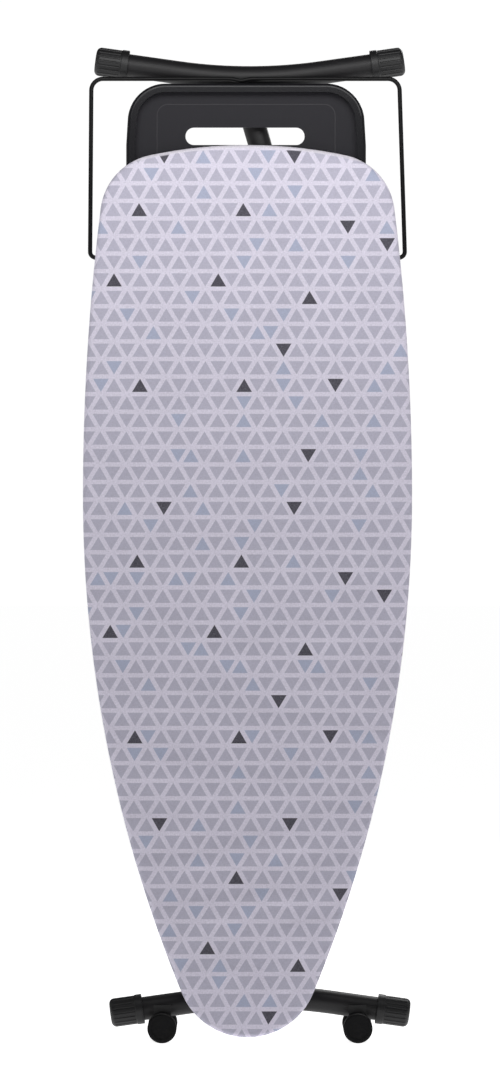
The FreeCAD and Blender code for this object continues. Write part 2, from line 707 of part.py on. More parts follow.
def foot_cap(middle_x, foot_length, side):
    """A ribbed cap, turned about its own axis, then set on the end of the foot tube."""
    bore = TUBE_RADIUS + CAP_FIT
    length = CAP_LENGTH
    dome = CAP_DOME_RADIUS
    lean = dome * math.sqrt(0.5)
    body = CAP_BODY_RADIUS
    collar = CAP_COLLAR_RADIUS
    body_start = CAP_COLLAR_LENGTH + collar - body
    outline = [
        Part.LineSegment(Vector(bore, 0, 0), Vector(collar, 0, 0)),
        Part.LineSegment(Vector(collar, 0, 0), Vector(collar, 0, CAP_COLLAR_LENGTH)),
        Part.LineSegment(Vector(collar, 0, CAP_COLLAR_LENGTH), Vector(body, 0, body_start)),
        Part.LineSegment(Vector(body, 0, body_start), Vector(body, 0, length - dome)),
        Part.Arc(Vector(body, 0, length - dome),
                 Vector(body - dome + lean, 0, length - dome + lean),
                 Vector(body - dome, 0, length)),
        Part.LineSegment(Vector(body - dome, 0, length), Vector(0, 0, length)),
        Part.LineSegment(Vector(0, 0, length), Vector(0, 0, CAP_BORE_DEPTH)),
        Part.LineSegment(Vector(0, 0, CAP_BORE_DEPTH), Vector(bore, 0, CAP_BORE_DEPTH)),
        Part.LineSegment(Vector(bore, 0, CAP_BORE_DEPTH), Vector(bore, 0, 0)),
    ]
    face = Part.Face(Part.Wire([edge.toShape() for edge in outline]))
    cap = face.revolve(Vector(0, 0, 0), Vector(0, 0, 1), 360)
    flutes = []
    for index in range(FLUTE_COUNT):
        turn = 2 * math.pi * index / FLUTE_COUNT
        reach = body + FLUTE_OUT
        base = Vector(reach * math.cos(turn), reach * math.sin(turn), FLUTE_START)
        flutes.append(Part.makeCylinder(FLUTE_RADIUS, length, base))
    cap = cap.cut(flutes)
    outwards = Vector(side * math.cos(slope), 0, math.sin(slope))
    half = tube_half_length(foot_length)
    end = at(middle_x + side * half, leg_depth, heel_foot_z + foot_rise(half))
    turn = FreeCAD.Rotation(Vector(0, 0, 1), outwards)
    cap.Placement = FreeCAD.Placement(end - outwards * CAP_BORE_DEPTH, turn)
    return cap


def leg_tube(middle_x):
    start = at(leg_x, leg_depth, fixed_pivot_z - HEAD_BELOW_ROD + HEAD_END_WALL)
    bend = at(leg_x, leg_depth, heel_foot_z - LEG_BEND_LENGTH)
    shift = LEG_BEND_LENGTH * math.tan(math.radians(LEG_BEND_ANGLE))
    end = at(leg_x - shift, leg_depth, heel_foot_z)
    path = bent_wire([start, bend, end], [LEG_BEND_RADIUS])
    outer = swept_round(path, TUBE_RADIUS)
    inner = swept_round(path, TUBE_RADIUS - TUBE_WALL)
    foot = swept_round(foot_path(middle_x, foot_arc_half * 1.5), TUBE_RADIUS)
    bolt_hole = rod_across(leg_x - TUBE_RADIUS, leg_x + TUBE_RADIUS, leg_depth, cross_z,
                           BOLT_RADIUS + RUNNING_FIT)
    return outer.cut(inner).cut([foot, bolt_hole])


def leg_head():
    sleeve_radius = TUBE_RADIUS + HEAD_WALL
    z0 = fixed_pivot_z - HEAD_BELOW_ROD
    sleeve = rod_along(leg_x, leg_depth, z0, z0 + HEAD_LENGTH, sleeve_radius)
    half_web = HEAD_WEB_WIDTH / 2
    web = box(leg_x - half_web, leg_x + half_web, rod_depth, leg_depth,
              fixed_pivot_z - HEAD_BOSS_RADIUS, fixed_pivot_z + HEAD_WEB_RISE)
    half_boss = HEAD_BOSS_WIDTH / 2
    boss = rod_across(leg_x - half_boss, leg_x + half_boss, rod_depth, fixed_pivot_z,
                      HEAD_BOSS_RADIUS)
    head = sleeve.fuse([web, boss])
    socket = rod_along(leg_x, leg_depth, z0 + HEAD_END_WALL, z0 + HEAD_LENGTH,
                       TUBE_RADIUS + WELD_FIT)
    rod_bore = rod_across(-channel_x, channel_x, rod_depth, fixed_pivot_z,
                          ROD_RADIUS + WELD_FIT)
    return head.cut([socket, rod_bore]).removeSplitter()


def cross_rod():
    return rod_across(-shoe_outer_x, shoe_outer_x, rod_depth, fixed_pivot_z, ROD_RADIUS)


def fixed_leg_pieces():
    return {
        "fixed_leg_tube": leg_tube(HEEL_FOOT_X),
        "fixed_leg_foot_tube": foot_tube(HEEL_FOOT_X, HEEL_FOOT_LENGTH),
        "fixed_leg_foot_cap_left": foot_cap(HEEL_FOOT_X, HEEL_FOOT_LENGTH, -1),
        "fixed_leg_foot_cap_right": foot_cap(HEEL_FOOT_X, HEEL_FOOT_LENGTH, 1),
        "fixed_leg_head": leg_head(),
        "pivot_rod": cross_rod(),
    }


def sliding_leg_pieces():
    pieces = {
        "sliding_leg_tube": leg_tube(-NOSE_FOOT_X),
        "sliding_leg_foot_tube": foot_tube(-NOSE_FOOT_X, NOSE_FOOT_LENGTH),
        "sliding_leg_foot_cap_left": foot_cap(-NOSE_FOOT_X, NOSE_FOOT_LENGTH, 1),
        "sliding_leg_foot_cap_right": foot_cap(-NOSE_FOOT_X, NOSE_FOOT_LENGTH, -1),
        "sliding_leg_head": leg_head(),
        "slide_rod": cross_rod(),
    }
    return {name: turned_half_round(shape) for name, shape in pieces.items()}


def turned_half_round(shape):
    turned = shape.copy()
    turned.rotate(at(0, 0, cross_z), Vector(0, 1, 0), 180)
    return turned


def cross_pivot_pieces():
    tube_side = leg_x + TUBE_RADIUS
    washer_x = tube_side + SIDE_PLAY
    seat_x = washer_x + WASHER_THICKNESS
    end_x = seat_x + NUT_THICKNESS + BOLT_END
    hole = rod_across(-end_x, end_x, leg_depth, cross_z, BOLT_RADIUS + WELD_FIT)
    shank = rod_across(-end_x, seat_x, leg_depth, cross_z, BOLT_RADIUS)
    head = hexagon(seat_x, seat_x + BOLT_HEAD_THICKNESS, leg_depth, cross_z)
    nut = hexagon(-seat_x - NUT_THICKNESS, -seat_x, leg_depth, cross_z)
    washer = rod_across(washer_x, seat_x, leg_depth, cross_z, WASHER_RADIUS).cut(hole)
    spacer_half = LEG_GAP / 2 - SIDE_PLAY
    spacer = rod_across(-spacer_half, spacer_half, leg_depth, cross_z, SPACER_RADIUS)
    return {
        "cross_bolt": shank.fuse(head),
        "cross_nut": nut.cut(hole),
        "cross_washers": group([washer, on_side(washer, -1)]),
        "cross_spacer": spacer.cut(hole),
    }


# ---- rollers ----
def roller_bracket(x):
    tube_z = nose_foot_z - foot_rise(roller_offset)
    top_z = tube_z + BRACKET_WRAP
    half = BRACKET_WIDTH / 2
    depth0 = leg_depth - saddle_radius
    depth1 = leg_depth + saddle_radius
    block = box(x - half, x + half, depth0, depth1, axle_z + BRACKET_BOSS_RADIUS, top_z)
    boss = rod_through(x, axle_z, depth0, depth1, BRACKET_BOSS_RADIUS)
    neck = box(x - BRACKET_BOSS_RADIUS, x + BRACKET_BOSS_RADIUS, depth0, depth1, axle_z, top_z)
    foot = swept_round(foot_path(-NOSE_FOOT_X, tube_half_length(NOSE_FOOT_LENGTH)),
                       TUBE_RADIUS + WELD_FIT)
    bore = rod_through(x, axle_z, depth0, depth1, AXLE_RADIUS + RUNNING_FIT)
    return block.fuse([boss, neck]).cut([turned_half_round(foot), bore]).removeSplitter()


def roller(x, inner_depth, outwards):
    """A roller whose closed face looks outwards: -1 to the front, 1 to the back."""
    base = at(x, inner_depth, axle_z)
    axis = Vector(0, outwards, 0)
    wheel = Part.makeCylinder(ROLLER_RADIUS, ROLLER_WIDTH, base, axis)
    rims = [edge for edge in wheel.Edges if edge.Curve.TypeId == "Part::GeomCircle"]
    wheel = wheel.makeFillet(ROLLER_EDGE_RADIUS, rims)
    face = base + axis * (ROLLER_WIDTH - ROLLER_FACE_RECESS)
    recess = Part.makeCylinder(ROLLER_FACE_RADIUS, ROLLER_FACE_RECESS, face, axis)
    bore = Part.makeCylinder(AXLE_RADIUS + RUNNING_FIT, ROLLER_BORE_DEPTH, base, axis)
    return wheel.cut([recess, bore])


def roller_pieces(side_name, x):
    front = front_roller_back
    rear = rear_roller_front
    axle = rod_through(x, axle_z, front - ROLLER_BORE_DEPTH, rear + ROLLER_BORE_DEPTH,
                       AXLE_RADIUS)
    return {
        "roller_axle_" + side_name: axle,
        "front_roller_" + side_name: roller(x, front, -1),
        "rear_roller_" + side_name: roller(x, rear, 1),
    }


# ---- release lever ----
def pawl():
    pawl_end = pawl_x + PAWL_THICKNESS
    hub = capsule(pawl_x, PAWL_THICKNESS, rod_depth, slide_pivot_z, tooth_depth, tooth_z,
                  PAWL_ARM_RADIUS)
    tail = capsule(pawl_x, PAWL_THICKNESS, rod_depth, slide_pivot_z, lever_depth, lever_z,
                   PAWL_ARM_RADIUS)
    eye = rod_across(pawl_x, pawl_end, rod_depth, slide_pivot_z, PAWL_HUB_RADIUS)
    tooth_end = rack_x + RACK_THICKNESS + PAWL_RACK_GAP
    tooth = rod_across(pawl_x, tooth_end, tooth_depth, tooth_z, TOOTH_RADIUS)
    bore = rod_across(pawl_x, pawl_end, rod_depth, slide_pivot_z, ROD_RADIUS + RUNNING_FIT)
    arm_hole = rod_across(pawl_x, pawl_end, lever_depth, lever_z, LEVER_WIRE_RADIUS + WELD_FIT)
    return hub.fuse([tail, eye, tooth]).cut([bore, arm_hole]).removeSplitter()


def lever_arm():
    return rod_across(pawl_x, LEVER_REACH - GRIP_RADIUS, lever_depth, lever_z, LEVER_WIRE_RADIUS)


def lever_grip():
    grip = rod_across(grip_x, LEVER_REACH, lever_depth, lever_z, GRIP_RADIUS)
    rims = [edge for edge in grip.Edges if edge.Curve.TypeId == "Part::GeomCircle"]
    grip = grip.makeFillet(GRIP_ROUND, rims)
    bore = rod_across(grip_x, LEVER_REACH - GRIP_RADIUS, lever_depth, lever_z,
                      LEVER_WIRE_RADIUS + GRIP_BORE_FIT)
    return grip.cut(bore)


def lever_spring():
    coil_radius = ROD_RADIUS + SPRING_CLEARANCE + SPRING_WIRE_RADIUS
    height = SPRING_PITCH * SPRING_TURNS
    helix = Part.makeHelix(SPRING_PITCH, height, coil_radius)
    wire_end = Part.Circle(Vector(coil_radius, 0, 0), Vector(0, 1, 0), SPRING_WIRE_RADIUS)
    coil = Part.Wire(helix).makePipeShell([Part.Wire(wire_end.toShape())], True, True)
    start_x = rack_x + RACK_THICKNESS + 2 * PAWL_RACK_GAP + SPRING_WIRE_RADIUS
    coil.Placement = FreeCAD.Placement(at(start_x, rod_depth, slide_pivot_z),
                                       FreeCAD.Rotation(Vector(0, 0, 1), Vector(1, 0, 0)))
    return coil


# ---- every node ----
nodes = {
    "cover": cover(),
    "underlay_pad": underlay_pad(),
    "mesh_top": mesh_top(),
    "rim_frame": rim_frame(),
    "channel_left": channel(-1),
    "channel_right": channel(1),
    "nose_crossbar": crossbar(nose_bar_z),
    "heel_crossbar": heel_crossbar(),
    "height_rack": height_rack(),
    "pivot_bush_left": channel_block(fixed_pivot_z, BUSH_LENGTH, -1),
    "pivot_bush_right": channel_block(fixed_pivot_z, BUSH_LENGTH, 1),
    "iron_rest": iron_rest(),
    "iron_rest_straps": iron_rest_straps(),
    "iron_rest_screws": iron_rest_screws(),
    "rail_clip_left": rail_clip(-1),
    "rail_clip_right": rail_clip(1),
    "clip_screws": clip_screws(),
    "hanger_rail": hanger_rail(),
    "slide_shoe_left": channel_block(slide_pivot_z, SHOE_LENGTH, -1),
    "slide_shoe_right": channel_block(slide_pivot_z, SHOE_LENGTH, 1),
    "pawl": pawl(),
    "lever_arm": lever_arm(),
    "lever_grip": lever_grip(),
    "lever_spring": lever_spring(),
}
nodes.update(fixed_leg_pieces())
nodes.update(sliding_leg_pieces())
nodes.update(cross_pivot_pieces())
for side_name, side in (("left", -1), ("right", 1)):
    roller_x = NOSE_FOOT_X + side * roller_offset
    nodes["roller_bracket_" + side_name] = roller_bracket(roller_x)
    nodes.update(roller_pieces(side_name, roller_x))

os.makedirs("parts", exist_ok=True)
for name, shape in nodes.items():
    shape.exportStep("parts/" + name + ".step")

print("rod depth", rod_depth - overall_depth / 2, "leg depth", leg_depth - overall_depth / 2)
print("fixed pivot z", fixed_pivot_z, "cross z", cross_z, "slide pivot z", slide_pivot_z)
print("rail depth", rail_depth - overall_depth / 2, "rail pivot z", rail_pivot_z)
print("overall depth", overall_depth, "heel z", heel_z)
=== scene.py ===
import json
import logging
import math
from dataclasses import dataclass
from enum import Enum

import bmesh
import bpy
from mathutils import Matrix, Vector, noise


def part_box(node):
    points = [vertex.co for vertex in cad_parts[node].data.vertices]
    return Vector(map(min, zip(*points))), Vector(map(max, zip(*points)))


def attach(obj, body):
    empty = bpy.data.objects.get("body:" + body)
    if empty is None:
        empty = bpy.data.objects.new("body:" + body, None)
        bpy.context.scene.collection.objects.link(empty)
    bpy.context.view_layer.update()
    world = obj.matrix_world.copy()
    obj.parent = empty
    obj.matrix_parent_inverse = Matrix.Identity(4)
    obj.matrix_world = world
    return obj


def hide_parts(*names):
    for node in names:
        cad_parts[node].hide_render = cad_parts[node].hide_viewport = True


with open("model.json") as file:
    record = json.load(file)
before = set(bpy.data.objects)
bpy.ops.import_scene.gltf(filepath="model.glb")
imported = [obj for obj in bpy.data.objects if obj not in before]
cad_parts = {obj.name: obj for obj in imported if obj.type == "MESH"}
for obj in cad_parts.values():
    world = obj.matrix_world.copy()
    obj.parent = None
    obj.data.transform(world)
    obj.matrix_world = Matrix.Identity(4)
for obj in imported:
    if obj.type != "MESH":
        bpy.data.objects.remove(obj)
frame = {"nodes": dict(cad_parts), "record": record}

log = logging.getLogger("ironing_board")

Colour = tuple[float, float, float, float]
Point = tuple[float, float]


class Body(Enum):
    """The moving bodies that new pieces ride on."""

    BOARD = "board"


# ---- shader and geometry node tools ----
def add_node(
    tree: bpy.types.NodeTree,
    kind: str,
    settings: dict[str, object],
    inputs: dict[str | int, object],
) -> bpy.types.Node:
    """Adds one node to a tree.

    Args:
        tree: the shader, world or geometry tree.
        kind: the node's type.
        settings: its properties, set first.
        inputs: values of its sockets, or sockets to link, by name or index.

    Returns:
        The node.
    """
    made = tree.nodes.new(kind)
    for key, value in settings.items():
        setattr(made, key, value)
    for key, value in inputs.items():
        if isinstance(value, bpy.types.NodeSocket):
            tree.links.new(value, made.inputs[key])
        else:
            made.inputs[key].default_value = value
    return made


class Value:
    """One output of a shader node, with arithmetic that adds Math nodes."""

    def __init__(self, shader: "Shader", socket: bpy.types.NodeSocket) -> None:
        """Keeps the shader and the socket."""
        self.shader = shader
        self.socket = socket

    def math(self, operation: str, first: "Value | float", second: "Value | float") -> "Value":
        """Adds a Math node and returns its result."""
        return self.shader.math(operation, first, second)

    def __add__(self, other: "Value | float") -> "Value":
        """Self plus other."""
        return self.math("ADD", self, other)

    __radd__ = __add__

    def __sub__(self, other: "Value | float") -> "Value":
        """Self minus other."""
        return self.math("SUBTRACT", self, other)

    def __rsub__(self, other: "Value | float") -> "Value":
        """Other minus self."""
        return self.math("SUBTRACT", other, self)

    def __mul__(self, other: "Value | float") -> "Value":
        """Self times other."""
        return self.math("MULTIPLY", self, other)

    __rmul__ = __mul__

    def __truediv__(self, other: "Value | float") -> "Value":
        """Self over other."""
        return self.math("DIVIDE", self, other)

    def __lt__(self, other: "Value | float") -> "Value":
        """1 where self is below other."""
        return self.math("LESS_THAN", self, other)

    def __gt__(self, other: "Value | float") -> "Value":
        """1 where self is above other."""
        return self.math("GREATER_THAN", self, other)

    def floor(self) -> "Value":
        """Self rounded down."""
        return self.math("FLOOR", self, 0.0)

    def size(self) -> "Value":
        """Self without its sign."""
        return self.math("ABSOLUTE", self, 0.0)

    def sine(self) -> "Value":
        """The sine of self, in radians."""
        return self.math("SINE", self, 0.0)

    def clamped(self) -> "Value":
        """Self held between 0 and 1."""
        return self.shader.node("ShaderNodeClamp", {}, {"Value": self})


class Shader:
    """A material's node tree, built a node at a time."""

    def __init__(self, name: str) -> None:
        """Starts an empty material of that name."""
        self.material = bpy.data.materials.new(name)
        self.material.use_nodes = True
        self.tree = self.material.node_tree
        self.tree.nodes.clear()

    def node(
        self,
        kind: str,
        settings: dict[str, object],
        inputs: dict[str | int, object],
        output: str | int = 0,
    ) -> Value:
        """Adds one node.

        Args:
            kind: the node's type.
            settings: its properties.
            inputs: numbers, colours or shader values for its sockets, by name or index.
            output: the output that is wanted, by name or index.

        Returns:
            That output.
        """
        sockets = {k: v.socket if isinstance(v, Value) else v for k, v in inputs.items()}
        return Value(self, add_node(self.tree, kind, settings, sockets).outputs[output])

    def math(self, operation: str, first: Value | float, second: Value | float) -> Value:
        """Adds a Math node and returns its result."""
        return self.node("ShaderNodeMath", {"operation": operation}, {0: first, 1: second})

    def mix(self, factor: Value | float, first: object, second: object) -> Value:
        """A colour between two colours."""
        return self.node(
            "ShaderNodeMix", {"data_type": "RGBA"}, {0: factor, 6: first, 7: second}, 2
        )

    def place(self) -> Value:
        """The point on the object, in metres."""
        return self.node("ShaderNodeTexCoord", {}, {}, "Object")

    def uv(self, name: str) -> Value:
        """The point on the UV map of that name."""
        return self.node("ShaderNodeUVMap", {"uv_map": name}, {})

    def part(self, vector: Value, axis: str) -> Value:
        """One coordinate of a vector."""
        return self.node("ShaderNodeSeparateXYZ", {}, {"Vector": vector}, axis)

    def stretched(self, vector: Value, scale: tuple[float, float, float]) -> Value:
        """A vector scaled by axis."""
        return self.node("ShaderNodeMapping", {}, {"Vector": vector, "Scale": scale})

    def noise(self, vector: Value, scale: float, detail: float = 3.0) -> Value:
        """Smooth noise from 0 to 1."""
        inputs = {"Vector": vector, "Scale": scale, "Detail": detail}
        return self.node("ShaderNodeTexNoise", {"noise_dimensions": "3D"}, inputs, "Fac")

    def surface(
        self,
        colour: object,
        roughness: object,
        height: Value,
        depth: float,
        constants: dict[str, float],
    ) -> bpy.types.Material:
        """Joins colour, roughness and bump into the material's surface.

        Args:
            colour: the base colour.
            roughness: the roughness.
            height: what the bump follows, about 0 to 1.
            depth: how deep the bump is, in metres.
            constants: the other inputs of the surface, the same all over.

        Returns:
            The finished material.
        """
        normal = self.node(
            "ShaderNodeBump", {}, {"Strength": 1.0, "Distance": depth, "Height": height}, "Normal"
        )
        inputs = {"Base Color": colour, "Roughness": roughness, "Normal": normal}
        inputs.update(constants)
        body = self.node("ShaderNodeBsdfPrincipled", {}, inputs, "BSDF")
        end = self.tree.nodes.new("ShaderNodeOutputMaterial")
        self.tree.links.new(body.socket, end.inputs["Surface"])
        return self.material


class Recipe:
    """A Geometry Nodes tree with named inputs, run once on a carrier mesh."""

    def __init__(self, name: str, sizes: dict[str, float]) -> None:
        """Makes the tree's sockets.

        Args:
            name: the tree's name.
            sizes: its inputs and their values.
        """
        self.tree = bpy.data.node_groups.new(name, "GeometryNodeTree")
        self.sizes = sizes
        sockets = self.tree.interface
        sockets.new_socket("Geometry", in_out="INPUT", socket_type="NodeSocketGeometry")
        self.identifiers = {}
        for label in sizes:
            made = sockets.new_socket(label, in_out="INPUT", socket_type="NodeSocketFloat")
            self.identifiers[label] = made.identifier
        sockets.new_socket("Geometry", in_out="OUTPUT", socket_type="NodeSocketGeometry")
        self.entry = self.tree.nodes.new("NodeGroupInput")
        self.exit = self.tree.nodes.new("NodeGroupOutput")

    def size(self, label: str) -> bpy.types.NodeSocket:
        """The input of that name."""
        return self.entry.outputs[label]

    def node(
        self,
        kind: str,
        settings: dict[str, object],
        inputs: dict[str | int, object],
        output: str | int = 0,
    ) -> bpy.types.NodeSocket:
        """Adds one node and returns one of its outputs."""
        return add_node(self.tree, kind, settings, inputs).outputs[output]

    def maths(self, operation: str, first: object, second: object) -> bpy.types.NodeSocket:
        """Adds a Math node."""
        return self.node("ShaderNodeMath", {"operation": operation}, {0: first, 1: second})

    def vector(self, x: object, y: object, z: object) -> bpy.types.NodeSocket:
        """Adds a Combine XYZ node."""
        return self.node("ShaderNodeCombineXYZ", {}, {"X": x, "Y": y, "Z": z})

    def joined(self, *shapes: bpy.types.NodeSocket) -> bpy.types.NodeSocket:
        """Several geometries as one."""
        join = self.tree.nodes.new("GeometryNodeJoinGeometry")
        for shape in shapes:
            self.tree.links.new(shape, join.inputs[0])
        return join.outputs[0]

    def run(
        self,
        name: str,
        carrier: bpy.types.Object,
        result: bpy.types.NodeSocket,
        material: bpy.types.Material,
    ) -> bpy.types.Object:
        """Ends the tree, evaluates it on the carrier and keeps the result as a plain mesh.

        Args:
            name: the new piece's name.
            carrier: the mesh the tree works on; it is removed afterwards.
            result: the geometry to keep.
            material: its material.

        Returns:
            The new piece.
        """
        real = self.node("GeometryNodeRealizeInstances", {}, {"Geometry": result})
        dressed = self.node("GeometryNodeSetMaterial", {}, {"Geometry": real, "Material": material})
        self.tree.links.new(dressed, self.exit.inputs[0])
        modifier = carrier.modifiers.new(self.tree.name, "NODES")
        modifier.node_group = self.tree
        for label, value in self.sizes.items():
            modifier[self.identifiers[label]] = value
        graph = bpy.context.evaluated_depsgraph_get()
        mesh = bpy.data.meshes.new_from_object(carrier.evaluated_get(graph))
        mesh.name = name
        carrier.modifiers.remove(modifier)
        bpy.data.objects.remove(carrier)
        piece = add_object(name, mesh)
        if not mesh.materials:
            mesh.materials.append(material)
        return piece


def add_object(name: str, mesh: bpy.types.Mesh) -> bpy.types.Object:
    """Links a mesh into the scene as an object at the origin."""
    made = bpy.data.objects.new(name, mesh)
    bpy.context.scene.collection.objects.link(made)
    return made


def mesh_piece(
    name: str, points: list[tuple[float, float, float]], faces: list[tuple[int, ...]]
) -> bpy.types.Object:
    """Makes a smooth shaded object.

    Args:
        name: the object's name.
        points: its points.
        faces: its faces, as point indices.

    Returns:
        The object.
    """
    mesh = bpy.data.meshes.new(name)
    mesh.from_pydata(points, [], faces)
    mesh.validate()
    mesh.shade_smooth()
    return add_object(name, mesh)


def ring_faces(rings: int, count: int, closed: bool = False) -> list[tuple[int, ...]]:
    """Joins rings of points with faces.

    Args:
        rings: how many rings there are.
        count: the points in each.
        closed: whether the last ring joins the first.

    Returns:
        The faces, as point indices.
    """
    faces = []
    for ring in range(rings if closed else rings - 1):
        low, high = ring * count, (ring + 1) % rings * count
        for index in range(count):
            after = (index + 1) % count
            faces.append((low + index, low + after, high + after, high + index))
    return faces


def close_up(piece: bpy.types.Object, distance: float) -> None:
    """Merges points that nearly touch and turns every face outwards.

    Args:
        piece: the object.
        distance: how near two points are to be merged.
    """
    work = bmesh.new()
    work.from_mesh(piece.data)
    bmesh.ops.remove_doubles(work, verts=work.verts, dist=distance)
    bmesh.ops.recalc_face_normals(work, faces=work.faces)
    work.to_mesh(piece.data)
    work.free()
    piece.data.shade_smooth()


# ---- finishes ----
@dataclass(frozen=True)
class PrintCell:
    """The print's triangle at a point: how far it covers the point, and its place and way up."""

    filled: Value
    row: Value
    column: Value
    points_up: Value


@dataclass(frozen=True)
class PrintedCotton:
    """Plain weave cotton with rows of triangles printed over pale lilac bands."""

    band: Colour = (0.748, 0.711, 0.830, 1.0)
    grey: Colour = (0.500, 0.484, 0.588, 1.0)
    blue: Colour = (0.422, 0.456, 0.600, 1.0)
    charcoal: Colour = (0.048, 0.045, 0.058, 1.0)
    binding: Colour = (0.790, 0.755, 0.830, 1.0)
    shade: Colour = (0.26, 0.25, 0.31, 1.0)
    pitch: float = 0.03558
    row: float = 0.0240
    half_base: float = 0.0107
    rise: float = 0.0180
    print_edge: float = 0.0005
    first_up: float = -0.1321
    first_row: float = 1.2112
    second_block: int = 20
    third_block: int = 38
    blue_share: float = 0.045
    lone_dark: tuple[int, int, bool] = (17, 6, False)
    row_code: float = 64.0
    column_code: float = 2.0
    ink_least: float = 0.965
    ink_specks: float = 0.06
    thread: float = 0.0011
    slub_scale: float = 240.0
    speck_scale: float = 900.0
    cloud_scale: float = 14.0
    relief: float = 0.00028

    def dark_cells(self) -> list[tuple[int, int, bool]]:
        """The charcoal triangles of one block of the print, as row, column and pointing up."""
        return [
            (0, 0, False), (0, 5, False), (3, -1, True), (3, 3, True), (4, 7, False),
            (5, 9, False), (7, -2, True), (7, 2, True), (8, 6, True), (8, 10, True),
            (11, 5, False), (13, -1, True), (13, 3, True), (13, 7, False),
        ]

    def blue_cells(self) -> list[tuple[int, int, bool]]:
        """The blue triangles of one block of the print, as row, column and pointing up."""
        return [
            (0, 2, True), (1, 0, False), (1, 4, False), (2, 2, True), (4, -2, True),
            (4, 1, True), (5, 4, False), (6, -1, False), (6, 3, False), (8, 1, False),
            (8, -3, False), (9, -1, False), (9, 3, False), (10, 0, True), (10, 4, True),
            (13, 8, True), (14, 5, False), (15, 3, True), (15, 6, True), (15, 8, True),
            (17, 3, True), (17, 8, False),
        ]

    def _among(self, code: Value, cells: list[tuple[int, int, bool]]) -> Value:
        """Tests a triangle against a list.

        Args:
            code: the triangle's row, column and way up as one number.
            cells: the triangles of the list.

        Returns:
            1 where it is one of them, 0 elsewhere.
        """
        found: Value | float = 0.0
        for cell_row, cell_column, points_up in cells:
            wanted = cell_row * self.row_code + cell_column * self.column_code + float(points_up)
            hit = (code - wanted).size() < 0.25
            found = hit + found
        return found.clamped()

    def _cell(self, across: Value, along: Value) -> PrintCell:
        """Finds the triangle at a point of the flat cut.

        Args:
            across: the point's distance from the middle line.
            along: its height.

        Returns:
            The triangle.
        """
        rows = (self.first_row - along) / self.row + 0.5
        row = rows.floor()
        odd = row - (row / 2.0).floor() * 2.0
        tall = (0.5 - (rows - row)) * (self.row / self.rise) + 0.5
        columns = (across - self.first_up) / self.pitch
        shifted = columns - odd * 0.5
        away = (shifted - (shifted + 0.5).floor()).size() * self.pitch
        up_edge = (1.0 - tall) * self.half_base - away
        down_edge = tall * self.half_base - (self.pitch / 2 - away)
        inside = ((tall > 0.0) * (tall < 1.0)).clamped()
        crisp = 1.0 / self.print_edge
        up = (up_edge * crisp + 0.5).clamped() * inside
        down = (down_edge * crisp + 0.5).clamped() * inside
        points_up = up > down
        up_column = (columns + 0.5 - odd * 0.5).floor()
        down_column = (columns + odd * 0.5).floor()
        column = up_column * points_up + down_column * (1.0 - points_up)
        return PrintCell((up + down).clamped(), row, column, points_up)

    def _ink(self, s: Shader, cell: PrintCell) -> Value:
        """Chooses a triangle's ink.

        Args:
            s: the cloth's shader.
            cell: the triangle.

        Returns:
            Grey, blue or charcoal.
        """
        second = (cell.row + 0.5) > float(self.second_block)
        third = (cell.row + 0.5) > float(self.third_block)
        block_row = cell.row - second * float(self.second_block)
        block_row = block_row - third * float(self.third_block - self.second_block)
        code = block_row * self.row_code + cell.column * self.column_code + cell.points_up
        place = {"X": cell.column, "Y": cell.row, "Z": cell.points_up}
        key = s.node("ShaderNodeCombineXYZ", {}, place)
        chance = s.node("ShaderNodeTexWhiteNoise", {"noise_dimensions": "3D"}, {"Vector": key})
        lone = self._among(code, [self.lone_dark]) * (1.0 - second)
        dark = (self._among(code, self.dark_cells()) + lone).clamped()
        blue = (self._among(code, self.blue_cells()) + (chance < self.blue_share)).clamped()
        return s.mix(dark, s.mix(blue, self.grey, self.blue), self.charcoal)

    def material(self) -> bpy.types.Material:
        """Builds the print, the weave and the cloth's surface."""
        s = Shader("printed_cotton")
        cut = s.uv("cut")
        across, along = s.part(cut, "X"), s.part(cut, "Y")
        cell = self._cell(across, along)
        specks = s.noise(cut, self.speck_scale, 2.0)
        coverage = cell.filled * (self.ink_least + specks * self.ink_specks)
        printed = s.mix(coverage, self.band, self._ink(s, cell))
        edge = s.node("ShaderNodeAttribute", {"attribute_name": "heel_binding"}, {}, "Fac")
        bound = s.mix(edge, printed, self.binding)
        turn = 2 * math.pi / self.thread
        weave = (across * turn).sine() * (along * turn).sine() * 0.5 + 0.5
        slub = s.noise(s.stretched(cut, (1.0, 4.0, 1.0)), self.slub_scale)
        both_slubs = slub + s.noise(s.stretched(cut, (4.0, 1.0, 1.0)), self.slub_scale)
        clouds = s.noise(cut, self.cloud_scale, 4.0)
        tone = weave * 0.12 + both_slubs * 0.62 + clouds * 0.16 - 0.60
        return s.surface(
            s.mix(tone.clamped(), bound, self.shade),
            0.84 + slub * 0.1,
            weave * 0.5 + both_slubs * 0.4,
            self.relief,
            {"Specular IOR Level": 0.25, "Sheen Weight": 0.18, "Sheen Roughness": 0.5},
        )


